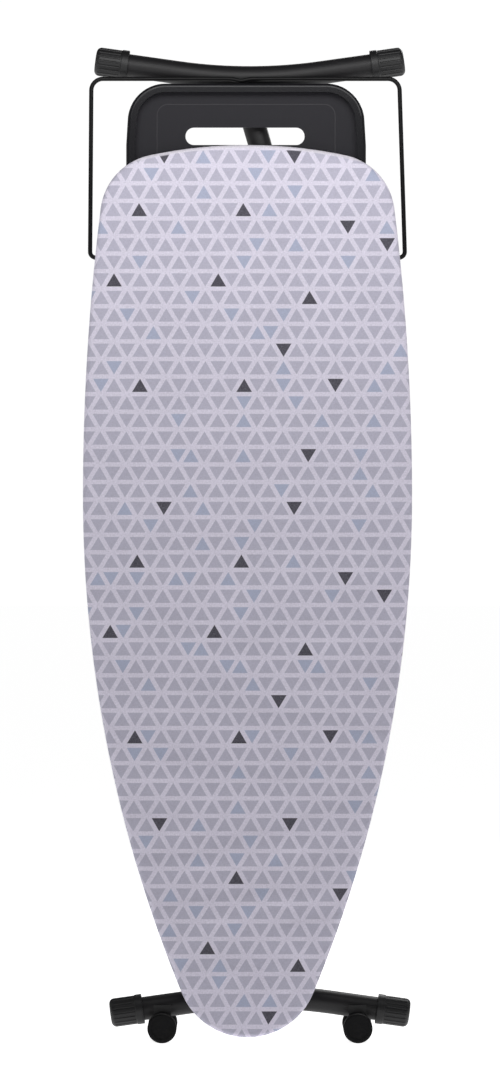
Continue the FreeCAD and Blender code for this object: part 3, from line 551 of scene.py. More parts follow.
@dataclass(frozen=True)
class Felt:
    """Needled felt in warm white with loose fibres and darker flecks."""

    light: Colour = (0.74, 0.71, 0.64, 1.0)
    deep: Colour = (0.50, 0.47, 0.41, 1.0)
    fleck: Colour = (0.30, 0.29, 0.31, 1.0)
    fibre_scale: float = 420.0
    cloud_scale: float = 45.0
    fleck_scale: float = 210.0
    fleck_least: float = 0.72
    relief: float = 0.0008

    def material(self) -> bpy.types.Material:
        """Builds the felt."""
        s = Shader("felt")
        place = s.place()
        fibres = s.noise(s.stretched(place, (1.0, 1.0, 3.0)), self.fibre_scale, 6.0)
        clouds = s.noise(place, self.cloud_scale, 3.0)
        base = s.mix((fibres * 0.7 + clouds * 0.3).clamped(), self.deep, self.light)
        flecks = (s.noise(place, self.fleck_scale, 1.0) > self.fleck_least).clamped()
        return s.surface(
            s.mix(flecks * 0.5, base, self.fleck),
            0.92 + fibres * 0.06,
            fibres,
            self.relief,
            {"Sheen Weight": 0.3, "Specular IOR Level": 0.15},
        )


@dataclass(frozen=True)
class PowderCoat:
    """Stoved powder coat with a fine orange peel and faint dust."""

    name: str
    colour: Colour
    worn: Colour
    gloss: float = 0.34
    shine: float = 0.34
    peel_scale: float = 520.0
    patch_scale: float = 14.0
    scuff_scale: float = 60.0
    scuff_least: float = 0.66
    relief: float = 0.00012

    def material(self) -> bpy.types.Material:
        """Builds the coat."""
        s = Shader(self.name)
        place = s.place()
        peel = s.noise(place, self.peel_scale, 2.0)
        patches = s.noise(place, self.patch_scale, 4.0)
        streaks = s.noise(s.stretched(place, (1.0, 1.0, 5.0)), self.scuff_scale, 6.0)
        scuffs = (streaks > self.scuff_least).clamped()
        colour = s.mix(patches * 0.35, self.colour, self.worn)
        colour = s.mix(scuffs * 0.22, colour, self.worn)
        rough = self.gloss + patches * 0.14 + scuffs * 0.12
        return s.surface(colour, rough, peel, self.relief, {"Specular IOR Level": self.shine})


@dataclass(frozen=True)
class Plated:
    """Plated or drawn steel, with fine lines along it."""

    name: str
    bright: Colour
    dull: Colour
    roughness: float
    cloud_scale: float = 90.0
    line_scale: float = 700.0
    relief: float = 0.00005

    def material(self) -> bpy.types.Material:
        """Builds the metal."""
        s = Shader(self.name)
        place = s.place()
        clouds = s.noise(place, self.cloud_scale, 4.0)
        lines = s.noise(s.stretched(place, (1.0, 1.0, 14.0)), self.line_scale, 2.0)
        return s.surface(
            s.mix(clouds, self.dull, self.bright),
            self.roughness + clouds * 0.16 + lines * 0.06,
            lines,
            self.relief,
            {"Metallic": 1.0},
        )


@dataclass(frozen=True)
class GrainedMoulding:
    """Black moulding with a spark eroded grain on its flats, a polished raised rim painted a little
    darker as shade, and a painted highlight along the edge of the panel's raised field.
    """

    rim_front: float
    panel_front: float
    middle_x: float
    top_z: float
    body: Colour = (0.0078, 0.0071, 0.0108, 1.0)
    flow_mark: Colour = (0.0165, 0.0155, 0.0200, 1.0)
    # painted shade: the rim's black, a little darker than the panel of the same moulding
    rim: Colour = (0.0065, 0.0063, 0.0082, 1.0)
    # painted highlight: the lighter colour laid along the raised field's edge
    ridge_highlight: Colour = (0.0420, 0.0400, 0.0450, 1.0)
    bead_half: float = 0.122
    bead_below_top: float = 0.028
    bead_corner: float = 0.015
    bead_width: float = 0.0011
    polish_start: float = 0.35
    grain_scale: float = 1500.0
    flow_scale: float = 9.0
    relief: float = 0.00035

    def material(self) -> bpy.types.Material:
        """Builds the moulding: polished, and painted darker as shade, where it stands in front of
        the panel, with a lighter colour painted as a highlight along the raised field's edge.
        """
        s = Shader("black_moulding")
        place = s.place()
        start = self.polish_start
        reach = (self.panel_front - self.rim_front) * start
        # 1 on the raised rim: real polish in the roughness and bump, and a darker colour painted
        #                      there as shade
        polish_and_shade = ((self.panel_front - s.part(place, "Y")) / reach - start).clamped()
        grain = s.noise(place, self.grain_scale, 2.0)
        flow = s.noise(place, self.flow_scale, 3.0)
        # the raised field's edge: a real ridge in the bump, with a lighter colour painted on it as a
        # highlight
        ridge_highlight = self._ridge_highlight_mask(s, place) * (1.0 - polish_and_shade)
        panel = s.mix(ridge_highlight * 0.6, s.mix(flow * 0.4, self.body, self.flow_mark), self.ridge_highlight)
        rough = 0.55 + grain * 0.10 - polish_and_shade * 0.36 + flow * 0.05 - ridge_highlight * 0.18
        height = grain * (1.0 - polish_and_shade * 0.92) * 0.5 + ridge_highlight * 0.5
        return s.surface(
            s.mix(polish_and_shade, panel, self.rim),
            rough,
            height,
            self.relief,
            {"Specular IOR Level": 0.3},
        )

    def _ridge_highlight_mask(self, s: Shader, place: Value) -> Value:
        """The edge of the panel's raised field, with rounded top corners: where the ridge's bump and
        its painted highlight go.

        Args:
            s: the moulding's shader.
            place: the point on the moulding.

        Returns:
            1 along the edge, 0 elsewhere.
        """
        across = (s.part(place, "X") - self.middle_x).size() - (self.bead_half - self.bead_corner)
        corner_z = self.top_z - self.bead_below_top - self.bead_corner
        up = s.part(place, "Z") - corner_z
        over_x = s.math("MAXIMUM", across, 0.0)
        over_z = s.math("MAXIMUM", up, 0.0)
        reach = s.math("SQRT", over_x * over_x + over_z * over_z, 0.0)
        return (1.0 - (reach - self.bead_corner).size() / self.bead_width).clamped()


@dataclass(frozen=True)
class MattPlastic:
    """Matt moulded plastic with a fine grain and slight flow marks."""

    name: str
    colour: Colour
    pale: Colour
    roughness: float = 0.40
    grain_scale: float = 1100.0
    flow_scale: float = 30.0
    relief: float = 0.00008

    def material(self) -> bpy.types.Material:
        """Builds the plastic."""
        s = Shader(self.name)
        place = s.place()
        grain = s.noise(place, self.grain_scale, 2.0)
        flow = s.noise(s.stretched(place, (2.0, 2.0, 1.0)), self.flow_scale, 4.0)
        return s.surface(
            s.mix(flow * 0.5, self.colour, self.pale),
            self.roughness + grain * 0.1 + flow * 0.06,
            grain,
            self.relief,
            {"Specular IOR Level": 0.42},
        )


@dataclass(frozen=True)
class RollerRubber:
    """Dark rubber, scuffed paler round the tread."""

    axle_z: float
    tread: float
    colour: Colour = (0.0035, 0.0035, 0.004, 1.0)
    scuffed: Colour = (0.014, 0.0135, 0.013, 1.0)
    dust_scale: float = 240.0
    dust_least: float = 0.52
    relief: float = 0.00018

    def material(self) -> bpy.types.Material:
        """Builds the rubber."""
        s = Shader("roller_rubber")
        place = s.place()
        dust = s.noise(place, self.dust_scale, 5.0)
        low = ((self.axle_z - s.part(place, "Z")) / self.tread + 0.2).clamped()
        worn = ((dust > self.dust_least) * (0.35 + low * 0.4)).clamped()
        return s.surface(
            s.mix(worn * 0.5, self.colour, self.scuffed),
            0.58 + dust * 0.22,
            dust,
            self.relief,
            {"Specular IOR Level": 0.16},
        )


# ---- the board's outline ----
@dataclass(frozen=True)
class EdgePoint:
    """A point on the outline, kept as an arc's centre, radius and direction."""

    centre: Point
    radius: float
    way: Point

    def at(self, offset: float) -> Point:
        """The point moved outwards by an offset, as x and z."""
        reach = self.radius + offset
        return self.centre[0] + reach * self.way[0], self.centre[1] + reach * self.way[1]


@dataclass(frozen=True)
class BoardOutline:
    """The ironing surface's outline: nose, long tapers, sides, heel corners and heel."""

    length: float
    width: float
    nose_z: float
    nose_radius: float = 0.097
    widest_from_nose: float = 0.740
    heel_side_radius: float = 3.2
    heel_end_radius: float = 0.650
    heel_corner_radius: float = 0.085
    middle_from_heel: float = 0.80

    @property
    def heel_z(self) -> float:
        """The height of the heel's edge."""
        return self.nose_z + self.length

    def arcs(self) -> list[tuple[Point, float, float, float]]:
        """The arcs from the nose up the right side to the heel's middle.

        Returns:
            Each arc's centre, radius, first angle and last angle.
        """
        half = self.width / 2
        rise = self.widest_from_nose - self.nose_radius
        widest_z = self.nose_z + self.widest_from_nose
        taper = (half**2 + rise**2 - self.nose_radius**2) / (2 * (half - self.nose_radius))
        nose = (0.0, self.nose_z + self.nose_radius)
        taper_centre = (half - taper, widest_z)
        side = (half - self.heel_side_radius, widest_z)
        end = (0.0, self.heel_z - self.heel_end_radius)
        corner = self._corner(side, end)

        def angle(start: Point, goal: Point) -> float:
            """The direction from one point to another."""
            return math.atan2(goal[1] - start[1], goal[0] - start[0])

        to_nose = angle(taper_centre, nose)
        to_corner = angle(side, corner)
        from_end = angle(end, corner)
        return [
            (nose, self.nose_radius, -math.pi / 2, to_nose),
            (taper_centre, taper, to_nose, 0.0),
            (side, self.heel_side_radius, 0.0, to_corner),
            (corner, self.heel_corner_radius, to_corner, from_end),
            (end, self.heel_end_radius, from_end, math.pi / 2),
        ]

    def _corner(self, side: Point, end: Point) -> Point:
        """The centre of the arc that rounds the side into the heel.

        Args:
            side: the centre of the side's arc.
            end: the centre of the heel's arc.

        Returns:
            The centre, which touches both arcs from inside.
        """
        from_side = self.heel_side_radius - self.heel_corner_radius
        from_end = self.heel_end_radius - self.heel_corner_radius
        across, up = end[0] - side[0], end[1] - side[1]
        apart = math.hypot(across, up)
        along = (from_side**2 - from_end**2 + apart**2) / (2 * apart)
        off = math.sqrt(from_side**2 - along**2)
        x = side[0] + (along * across - off * up) / apart
        return x, side[1] + (along * up + off * across) / apart

    def loop(self, step: float) -> list[EdgePoint]:
        """Points all round the outline, from the nose up the right side.

        Args:
            step: the longest distance between two points.

        Returns:
            The points, the last next to the first.
        """
        right: list[EdgePoint] = []
        for centre, radius, start, end in self.arcs():
            count = max(4, math.ceil(radius * abs(end - start) / step))
            for index in range(count):
                turn = start + (end - start) * index / count
                right.append(EdgePoint(centre, radius, (math.cos(turn), math.sin(turn))))
        centre, radius, _, end = self.arcs()[-1]
        right.append(EdgePoint(centre, radius, (math.cos(end), math.sin(end))))
        left = [
            EdgePoint((-p.centre[0], p.centre[1]), p.radius, (-p.way[0], p.way[1]))
            for p in right[-2:0:-1]
        ]
        return right + left

    def drawn_in(self, edge: Point, share: float) -> Point:
        """Moves a point of the edge towards the board's middle line.

        Args:
            edge: the point.
            share: how much of the way it moves.

        Returns:
            The new point.
        """
        low = self.nose_z + self.nose_radius
        high = self.heel_z - self.middle_from_heel * self.width / 2
        middle_z = min(max(edge[1], low), high)
        return edge[0] - edge[0] * share, edge[1] + (middle_z - edge[1]) * share


# ---- cloth cover ----
RingPoint = tuple[float, float, float, Point]


@dataclass
class Cover:
    """The printed cover: face, rolled edge, side and gathered hem, as one sheet."""

    outline: BoardOutline
    front: float
    back: float
    step: float = 0.0055
    face_rings: int = 26
    ring_crowding: float = 0.8
    middle_band: float = 0.004
    merged: float = 0.0006
    edge_round: float = 0.0055
    edge_rows: int = 6
    wall_rows: int = 2
    back_round: float = 0.0018
    back_rows: int = 3
    hem: float = 0.036
    hem_rings: int = 6
    pucker: float = 0.0007
    cloth: float = 0.0005
    slack: float = 0.006
    first_ripple: float = 0.0004
    ripple_scale: float = 16.0
    held_from: float = 0.6
    most_slack: float = 0.0009
    frames: int = 16
    binding: float = 0.005
    binding_reach: float = 0.075
    binding_blur: float = 0.0015
    lean_turn: float = 0.41
    lean_bow: float = 0.0035
    lean_run: float = 0.015
    lean_hook: float = 0.010

    def build(self, finish: PrintedCotton) -> bpy.types.Object:
        """Args:
            finish: the printed cotton.

        Returns:
            The cover.
        """
        loop = self.outline.loop(self.step)
        piece = self._mesh(loop, self._rings(loop))
        self._settle(piece)
        solid = piece.modifiers.new("cloth_thickness", "SOLIDIFY")
        solid.thickness = self.cloth
        solid.offset = -1.0
        piece.data.materials.append(finish.material())
        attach(piece, Body.BOARD.value)
        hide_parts("cover")
        flange = 2 * (self.back - self.front + self.hem)
        area = self._flat_area(loop, flange / 2)
        return piece

    @staticmethod
    def _flat_area(loop: list[EdgePoint], flange: float) -> float:
        """The area of the flat cut.

        Args:
            loop: the points of the outline.
            flange: how far the cut stands out from it.

        Returns:
            The area in square metres.
        """
        points = [p.at(flange) for p in loop]
        pairs = zip(points, points[1:] + points[:1])
        return abs(sum(a[0] * b[1] - b[0] * a[1] for a, b in pairs)) / 2

    def _profile(self) -> list[tuple[float, float, float]]:
        """The section from the face's edge round to the hem's end.

        Returns:
            For each row its offset from the outline, its y and its distance along the cut.
        """
        rows = []
        r = self.edge_round
        for index in range(self.edge_rows):
            turn = math.pi / 2 * index / (self.edge_rows - 1)
            offset = -r * (1 - math.sin(turn))
            rows.append((offset, self.front + r * (1 - math.cos(turn)), r * turn - r))
        travelled = r * math.pi / 2 - r
        wall = self.back - self.back_round - (self.front + r)
        for index in range(1, self.wall_rows + 1):
            down = wall * index / self.wall_rows
            rows.append((0.0, self.front + r + down, travelled + down))
        travelled += wall
        for index in range(1, self.back_rows + 1):
            turn = math.pi / 2 * index / self.back_rows
            offset = -self.back_round * (1 - math.cos(turn))
            y = self.back - self.back_round * (1 - math.sin(turn))
            rows.append((offset, y, travelled + self.back_round * turn))
        travelled += self.back_round * math.pi / 2
        for index in range(1, self.hem_rings + 1):
            inwards = (self.hem - self.back_round) * index / self.hem_rings
            rows.append((-self.back_round - inwards, self.back, travelled + inwards))
        return rows

    def _rings(self, loop: list[EdgePoint]) -> list[list[RingPoint]]:
        """Lays out the rings of points, from the middle line out and round to the hem.

        Args:
            loop: the points of the outline.

        Returns:
            The rings, each point with its place in the flat cut.
        """
        rings = []
        for index in range(self.face_rings):
            share = 1.0 - (index / self.face_rings) ** self.ring_crowding
            places = [self.outline.drawn_in(p.at(-self.edge_round), share) for p in loop]
            rings.append([(x, self.front, z, (x, z)) for x, z in places])
        for row, (offset, y, cut) in enumerate(self._profile()):
            ring = []
            for index, p in enumerate(loop):
                x, z = p.at(offset)
                ring.append((x, y + self._gather(row, index, p), z, p.at(cut)))
            rings.append(ring)
        return rings

    def _gather(self, row: int, index: int, p: EdgePoint) -> float:
        """How far the hem puckers, most at its inner edge and round the ends.

        Args:
            row: the row of the profile.
            index: the point's number round the outline.
            p: the point of the outline.

        Returns:
            The distance away from the board.
        """
        first = len(self._profile()) - self.hem_rings
        if row < first:
            return 0.0
        inwards = (row - first + 1) / self.hem_rings
        tightness = min(1.0, 0.10 / p.radius + 0.25)
        wave = noise.noise(Vector((index * 0.55, 7.3, inwards * 0.4)))
        ripple = 0.5 + 0.5 * math.sin(index * 1.35 + 2.5 * wave)
        return self.pucker * inwards * tightness * ripple

    def _mesh(self, loop: list[EdgePoint], rings: list[list[RingPoint]]) -> bpy.types.Object:
        """Joins the rings with faces, closes the middle line and writes the UV map.

        Args:
            loop: the points of the outline.
            rings: the rings of points.

        Returns:
            The cover as one sheet.
        """
        count = len(loop)
        points = [(x, y, z) for ring in rings for x, y, z, _ in ring]
        flat = [cut for ring in rings for *_, cut in ring]
        mesh = bpy.data.meshes.new("printed_cover")
        mesh.from_pydata(points, [], ring_faces(len(rings), count))
        layer = mesh.uv_layers.new(name="cut")
        for loop_index, corner in enumerate(mesh.loops):
            x, z = flat[corner.vertex_index]
            layer.data[loop_index].uv = (x - self._lean(z), z)
        strip = mesh.attributes.new("heel_binding", "FLOAT", "POINT")
        for index, (x, _, z) in enumerate(points):
            strip.data[index].value = self._bound(x, z, index // count)
        work = bmesh.new()
        work.from_mesh(mesh)
        face = [v for v in work.verts if abs(v.co.y - self.front) < 1e-6]
        inner = [v for v in face if abs(v.co.x) < self.middle_band]
        bmesh.ops.remove_doubles(work, verts=inner, dist=self.merged)
        bmesh.ops.recalc_face_normals(work, faces=work.faces)
        work.to_mesh(mesh)
        work.free()
        front_faces = [f for f in mesh.polygons if abs(f.center.y - self.front) < 1e-5]
        if sum(f.normal.y for f in front_faces) > 0:
            mesh.flip_normals()
        mesh.shade_smooth()
        return add_object("printed_cover", mesh)

    def _bound(self, x: float, z: float, ring: int) -> float:
        """Marks the plain binding along the heel's edge.

        Args:
            x: the point's x.
            z: its height.
            ring: the number of its ring.

        Returns:
            1 on the binding, 0 elsewhere.
        """
        end = self.outline.heel_z - self.outline.heel_end_radius
        inside = self.outline.heel_end_radius - math.hypot(x, z - end)
        side_ring = self.face_rings + self.edge_rows + self.wall_rows
        if z < self.outline.heel_z - self.binding_reach or ring > side_ring:
            return 0.0
        return min(1.0, max(0.0, (self.binding - inside) / self.binding_blur))

    def _lean(self, z: float) -> float:
        """How far the print runs off straight, as it was cut and pulled tight.

        Args:
            z: the height on the flat cut.

        Returns:
            The distance along x.
        """
        down = (self.outline.heel_z - z) / self.outline.length
        if down < self.lean_turn:
            return self.lean_bow * math.sin(math.pi * max(0.0, down) / self.lean_turn)
        past = down - self.lean_turn
        return -self.lean_run * past - self.lean_hook * (past / (1 - self.lean_turn)) ** 5

    def _settle(self, piece: bpy.types.Object) -> None:
        """Lets the face's slack buckle a little, held along the edge and backed by the pad.

        Args:
            piece: the cover; its points are moved.
        """
        mesh = piece.data
        rest = [v.co.copy() for v in mesh.vertices]
        held = piece.vertex_groups.new(name="held")
        for v in mesh.vertices:
            bump = noise.noise(Vector((v.co.x * self.ripple_scale, 3.1, v.co.z * self.ripple_scale)))
            v.co.y += self.first_ripple * bump
            if v.co.y > self.front + self.edge_round * self.held_from:
                held.add([v.index], 1.0, "REPLACE")
        cloth = piece.modifiers.new("slack", "CLOTH")
        settings = cloth.settings
        settings.quality = 5
        settings.mass = 0.2
        settings.tension_stiffness = 25
        settings.compression_stiffness = 12
        settings.bending_stiffness = 0.6
        settings.vertex_group_mass = "held"
        settings.shrink_min = -self.slack
        settings.effector_weights.gravity = 0.0
        cloth.collision_settings.use_collision = False
        cloth.point_cache.frame_start = 1
        cloth.point_cache.frame_end = self.frames
        for step in range(1, self.frames + 1):
            bpy.context.scene.frame_set(step)
        graph = bpy.context.evaluated_depsgraph_get()
        moved = [v.co.copy() for v in piece.evaluated_get(graph).data.vertices]
        piece.modifiers.remove(cloth)
        piece.vertex_groups.clear()
        bpy.context.scene.frame_set(1)
        largest = 0.0
        for v, start, end in zip(mesh.vertices, rest, moved):
            lift = min(max(start.y - end.y, 0.0), self.most_slack)
            largest = max(largest, lift)
            v.co = (start.x, start.y - lift, start.z)
        mesh.update()
        log.info("cover: slack settled, largest lift %.2f mm", largest * 1000)


# ---- felt pad ----
@dataclass
class UnderlayPad:
    """The felt pad under the cover, with small swells on both faces."""

    outline: BoardOutline
    front: float
    back: float
    inset: float = 0.0014
    step: float = 0.012
    rings: int = 22
    edge_draw: float = 0.0012
    edge_rows: int = 5
    swell: float = 0.00035
    merged: float = 0.0008

    def _sections(self) -> list[tuple[float, float, float]]:
        """The rings over the front, round the edge and over the back.

        Returns:
            For each ring its share of the way to the middle line, its offset and its y.
        """
        middle, half = (self.front + self.back) / 2, (self.back - self.front) / 2
        sections = [(1.0 - i / self.rings, -self.edge_draw, self.front) for i in range(self.rings)]
        for index in range(self.edge_rows):
            turn = math.pi * index / (self.edge_rows - 1)
            offset = -self.edge_draw * (1 - math.sin(turn))
            sections.append((0.0, offset, middle - half * math.cos(turn)))
        for index in range(1, self.rings + 1):
            sections.append((index / self.rings, -self.edge_draw, self.back))
        return sections

    def build(self, finish: Felt) -> bpy.types.Object:
        """Args:
            finish: the felt.

        Returns:
            The pad.
        """
        loop = self.outline.loop(self.step)
        sections = self._sections()
        points = []
        for share, offset, y in sections:
            way = 1 if y == self.front else -1
            for p in loop:
                x, z = self.outline.drawn_in(p.at(offset - self.inset), share)
                swell = abs(noise.noise(Vector((x * 30, y * 10, z * 30)))) * self.swell
                points.append((x, y + way * swell, z))
        piece = mesh_piece("underlay_felt", points, ring_faces(len(sections), len(loop)))
        close_up(piece, self.merged)
        piece.data.materials.append(finish.material())
        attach(piece, Body.BOARD.value)
        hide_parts("underlay_pad")
        return piece


# ---- expanded metal top ----
@dataclass
class MeshTop:
    """The expanded metal top: crossing strands inside a plain margin."""

    outline: BoardOutline
    front: float
    back: float
    step: float = 0.012
    cell_across: float = 0.021
    cell_along: float = 0.010
    strand: float = 0.0019
    margin: float = 0.011
    inset: float = 0.0029
    edge_share: float = 0.15
    on_board: float = 0.0006

    def build(self, finish: PowderCoat) -> bpy.types.Object:
        """Makes the strands with Geometry Nodes and joins the margin to them.

        Args:
            finish: the strands' coat.

        Returns:
            The top.
        """
        margin = self._margin()
        strands = self._strands(finish.material())
        work = bmesh.new()
        work.from_mesh(strands.data)
        work.from_mesh(margin.data)
        work.to_mesh(strands.data)
        work.free()
        bpy.data.objects.remove(margin)
        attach(strands, Body.BOARD.value)
        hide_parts("mesh_top")
        return strands

    def _margin(self) -> bpy.types.Object:
        """The plain strip round the strands."""
        loop = self.outline.loop(self.step)
        rows = [
            (-self.inset, self.front),
            (-self.inset - self.margin, self.front),
            (-self.inset - self.margin, self.back),
            (-self.inset, self.back),
        ]
        points = [(p.at(o)[0], y, p.at(o)[1]) for o, y in rows for p in loop]
        piece = mesh_piece("mesh_margin", points, ring_faces(len(rows), len(loop), closed=True))
        close_up(piece, 1e-6)
        piece.data.shade_flat()
        return piece

    def _strands(self, material: bpy.types.Material) -> bpy.types.Object:
        """A cross of two strands at every cell whose middle lies inside the margin.

        Args:
            material: the strands' material.

        Returns:
            The strands as one mesh.
        """
        loop = self.outline.loop(self.step)
        edge = -self.inset - self.margin - self.cell_along * self.edge_share

        region = mesh_piece(
            "mesh_region",
            [(p.at(edge)[0], self.front, p.at(edge)[1]) for p in loop],
            [tuple(range(len(loop)))],
        )
        r = Recipe(
            "expanded_metal",
            {
                "Cell Across": self.cell_across,
                "Cell Along": self.cell_along,
                "Strand Width": self.strand,
                "Strand Thickness": self.back - self.front,
                "Board Width": self.outline.width,
                "Board Length": self.outline.length,
            },
        )
        width, length = r.size("Board Width"), r.size("Board Length")
        across, along = r.size("Cell Across"), r.size("Cell Along")
        grid = r.node(
            "GeometryNodeMeshGrid",
            {},
            {
                "Size X": width,
                "Size Y": length,
                "Vertices X": r.maths("ADD", r.maths("DIVIDE", width, across), 1.0),
                "Vertices Y": r.maths("ADD", r.maths("DIVIDE", length, along), 1.0),
            },
            "Mesh",
        )
        middle_z = self.outline.nose_z + self.outline.length / 2
        stood = r.node(
            "GeometryNodeTransform",
            {},
            {
                "Geometry": grid,
                "Rotation": (math.pi / 2, 0.0, 0.0),
                "Translation": (0.0, (self.front + self.back) / 2, middle_z),
            },
        )
        distance = r.node(
            "GeometryNodeProximity",
            {"target_element": "FACES"},
            {0: r.entry.outputs[0]},
            "Distance",
        )
        inside = r.node(
            "FunctionNodeCompare", {"operation": "LESS_THAN"}, {0: distance, 1: self.on_board}
        )
        run = r.maths(
            "SQRT",
            r.maths("ADD", r.maths("MULTIPLY", across, across), r.maths("MULTIPLY", along, along)),
            0.0,
        )
        lean = r.maths("ARCTAN2", along, across)
        bars = []
        for sign in (1.0, -1.0):
            bar = r.node(
                "GeometryNodeMeshCube",
                {},
                {"Size": r.vector(run, r.size("Strand Thickness"), r.size("Strand Width"))},
                "Mesh",
            )
            turned = r.node(
                "GeometryNodeTransform",
                {},
                {"Geometry": bar, "Rotation": r.vector(0.0, r.maths("MULTIPLY", lean, sign), 0.0)},
            )
            bars.append(turned)
        crosses = r.node(
            "GeometryNodeInstanceOnPoints",
            {},
            {"Points": stood, "Selection": inside, "Instance": r.joined(*bars)},
        )
        return r.run("expanded_mesh", region, crosses, material)


# ---- hem stitching ----
@dataclass
class HemStitches:
    """The line of stitches that closes the hem."""

    outline: BoardOutline
    back: float
    step: float = 0.008
    inwards: float = 0.0285
    pitch: float = 0.0048
    length: float = 0.0032
    radius: float = 0.00042
    thread_sides: int = 6

    def build(self, material: bpy.types.Material) -> bpy.types.Object:
        """Sets a short thread at even steps along the hem.

        Args:
            material: the thread's material.

        Returns:
            The stitches as one mesh.
        """
        loop = self.outline.loop(self.step)
        points = [(p.at(-self.inwards)[0], self.back, p.at(-self.inwards)[1]) for p in loop]
        mesh = bpy.data.meshes.new("stitch_line")
        edges = [(i, (i + 1) % len(points)) for i in range(len(points))]
        mesh.from_pydata(points, edges, [])
        carrier = add_object("stitch_line", mesh)
        r = Recipe(
            "hem_stitches",
            {"Pitch": self.pitch, "Stitch Length": self.length, "Thread Radius": self.radius},
        )
        curve = r.node("GeometryNodeMeshToCurve", {}, {0: r.entry.outputs[0]})
        spaced = r.node(
            "GeometryNodeResampleCurve",
            {"mode": "LENGTH"},
            {"Curve": curve, "Length": r.size("Pitch")},
            "Curve",
        )
        tangent = r.node("GeometryNodeInputTangent", {}, {})
        turn = r.node("FunctionNodeAlignRotationToVector", {"axis": "Z"}, {"Vector": tangent})
        thread = r.node(
            "GeometryNodeMeshCylinder",
            {},
            {
                "Vertices": self.thread_sides,
                "Side Segments": 1,
                "Radius": r.size("Thread Radius"),
                "Depth": r.size("Stitch Length"),
            },
            "Mesh",
        )
        stitches = r.node(
            "GeometryNodeInstanceOnPoints",
            {},
            {"Points": spaced, "Instance": thread, "Rotation": turn},
        )
        piece = r.run("hem_stitches", carrier, stitches, material)
        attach(piece, Body.BOARD.value)
        return piece


# ---- studio ----
@dataclass(frozen=True)
class Lamp:
    """An area light: its place, width and height, watts and the point it faces."""

    name: str
    place: tuple[float, float, float]
    size: tuple[float, float]
    power: float
    aim: tuple[float, float, float]

    def hang(self) -> None:
        """Adds the light to the scene, unseen by the camera."""
        data = bpy.data.lights.new(self.name, "AREA")
        data.shape = "RECTANGLE"
        data.size, data.size_y = self.size
        data.energy = self.power
        lamp = bpy.data.objects.new(self.name, data)
        lamp.location = self.place
        lamp.visible_camera = False
        facing = Vector(self.aim) - Vector(self.place)
        lamp.rotation_euler = facing.to_track_quat("-Z", "Y").to_euler()
        bpy.context.scene.collection.objects.link(lamp)


LAMPS = (
    Lamp("key_light", place=(0.1, -1.0, 1.85), size=(1.5, 0.7), power=16.2, aim=(0.1, 0.0, 2.0)),
    Lamp("left_rim", place=(-2.2, 0.3, 1.7), size=(0.6, 1.8), power=5.0, aim=(0.0, 0.0, 1.0)),
    Lamp("rear_fill", place=(0.9, 2.4, 2.4), size=(1.6, 1.2), power=34.0, aim=(0.0, 0.0, 0.7)),
    Lamp("right_rim", place=(2.2, 0.3, 1.7), size=(0.6, 1.8), power=5.0, aim=(0.0, 0.0, 1.0)),
)
WHITE: Colour = (1.0, 1.0, 1.0, 1.0)


@dataclass
class Studio:
    """A pale floor in a white surround, soft lights and the camera."""

    cover_front: float
    camera_x: float = 0.0034
    camera_z: float = 0.688
    distance: float = 6.0
    view_height: float = 1.475
    sensor: float = 24.0
    floor_rings: tuple[float, ...] = (0.6, 1.5, 4.0, 10.0, 40.0)
    floor_sides: int = 48
    floor_glow: float = 0.92
    paper: Colour = (0.93, 0.93, 0.93, 1.0)
    paper_speck: Colour = (0.90, 0.90, 0.90, 1.0)
    paper_scale: float = 300.0
    surround_seen: float = 1.02
    surround_light: float = 0.08

    def build(self) -> None:
        """Makes everything round the object."""
        self._camera()
        self._floor()
        self._surround()
        for lamp in LAMPS:
            lamp.hang()
        bpy.context.scene.view_settings.view_transform = "Standard"

    def _surround(self) -> None:
        """A surround that looks white to the camera and lights the object softly."""
        world = bpy.data.worlds.new("studio_world")
        world.use_nodes = True
        tree = world.node_tree
        tree.nodes.clear()
        seen = add_node(tree, "ShaderNodeLightPath", {}, {})
        soft, bright = (
            add_node(tree, "ShaderNodeBackground", {}, {"Color": WHITE, "Strength": strength})
            for strength in (self.surround_light, self.surround_seen)
        )
        choice = {0: seen.outputs["Is Camera Ray"], 1: soft.outputs[0], 2: bright.outputs[0]}
        mixed = add_node(tree, "ShaderNodeMixShader", {}, choice)
        add_node(tree, "ShaderNodeOutputWorld", {}, {"Surface": mixed.outputs[0]})
        bpy.context.scene.world = world

    def _camera(self) -> None:
        """The camera, level and square to the cover."""
        data = bpy.data.cameras.new("studio_camera")
        data.sensor_fit = "VERTICAL"
        data.sensor_height = self.sensor
        data.lens = self.sensor * self.distance / self.view_height
        camera = bpy.data.objects.new("studio_camera", data)
        camera.location = (self.camera_x, self.cover_front - self.distance, self.camera_z)
        camera.rotation_euler = (math.pi / 2, 0.0, 0.0)
        bpy.context.scene.collection.objects.link(camera)
        bpy.context.scene.camera = camera

    def _floor(self) -> None:
        """A wide pale floor that glows enough to meet the white surround."""
        count = self.floor_sides
        points = [(0.0, 0.0, 0.0)]
        for reach in self.floor_rings:
            for index in range(count):
                turn = 2 * math.pi * index / count
                points.append((reach * math.cos(turn), reach * math.sin(turn), 0.0))
        faces = [(0, 1 + i, 1 + (i + 1) % count) for i in range(count)]
        for a, b, c, d in ring_faces(len(self.floor_rings), count):
            faces.append((a + 1, d + 1, c + 1, b + 1))
        floor = mesh_piece("studio_floor", points, faces)
        s = Shader("studio_paper")
        grain = s.noise(s.place(), self.paper_scale, 2.0)
        colour = s.mix(grain * 0.2, self.paper, self.paper_speck)
        glow = {"Emission Strength": self.floor_glow, "Emission Color": WHITE}
        glow["Specular IOR Level"] = 0.1
        floor.data.materials.append(s.surface(colour, 0.8 + grain * 0.1, grain, 0.0001, glow))


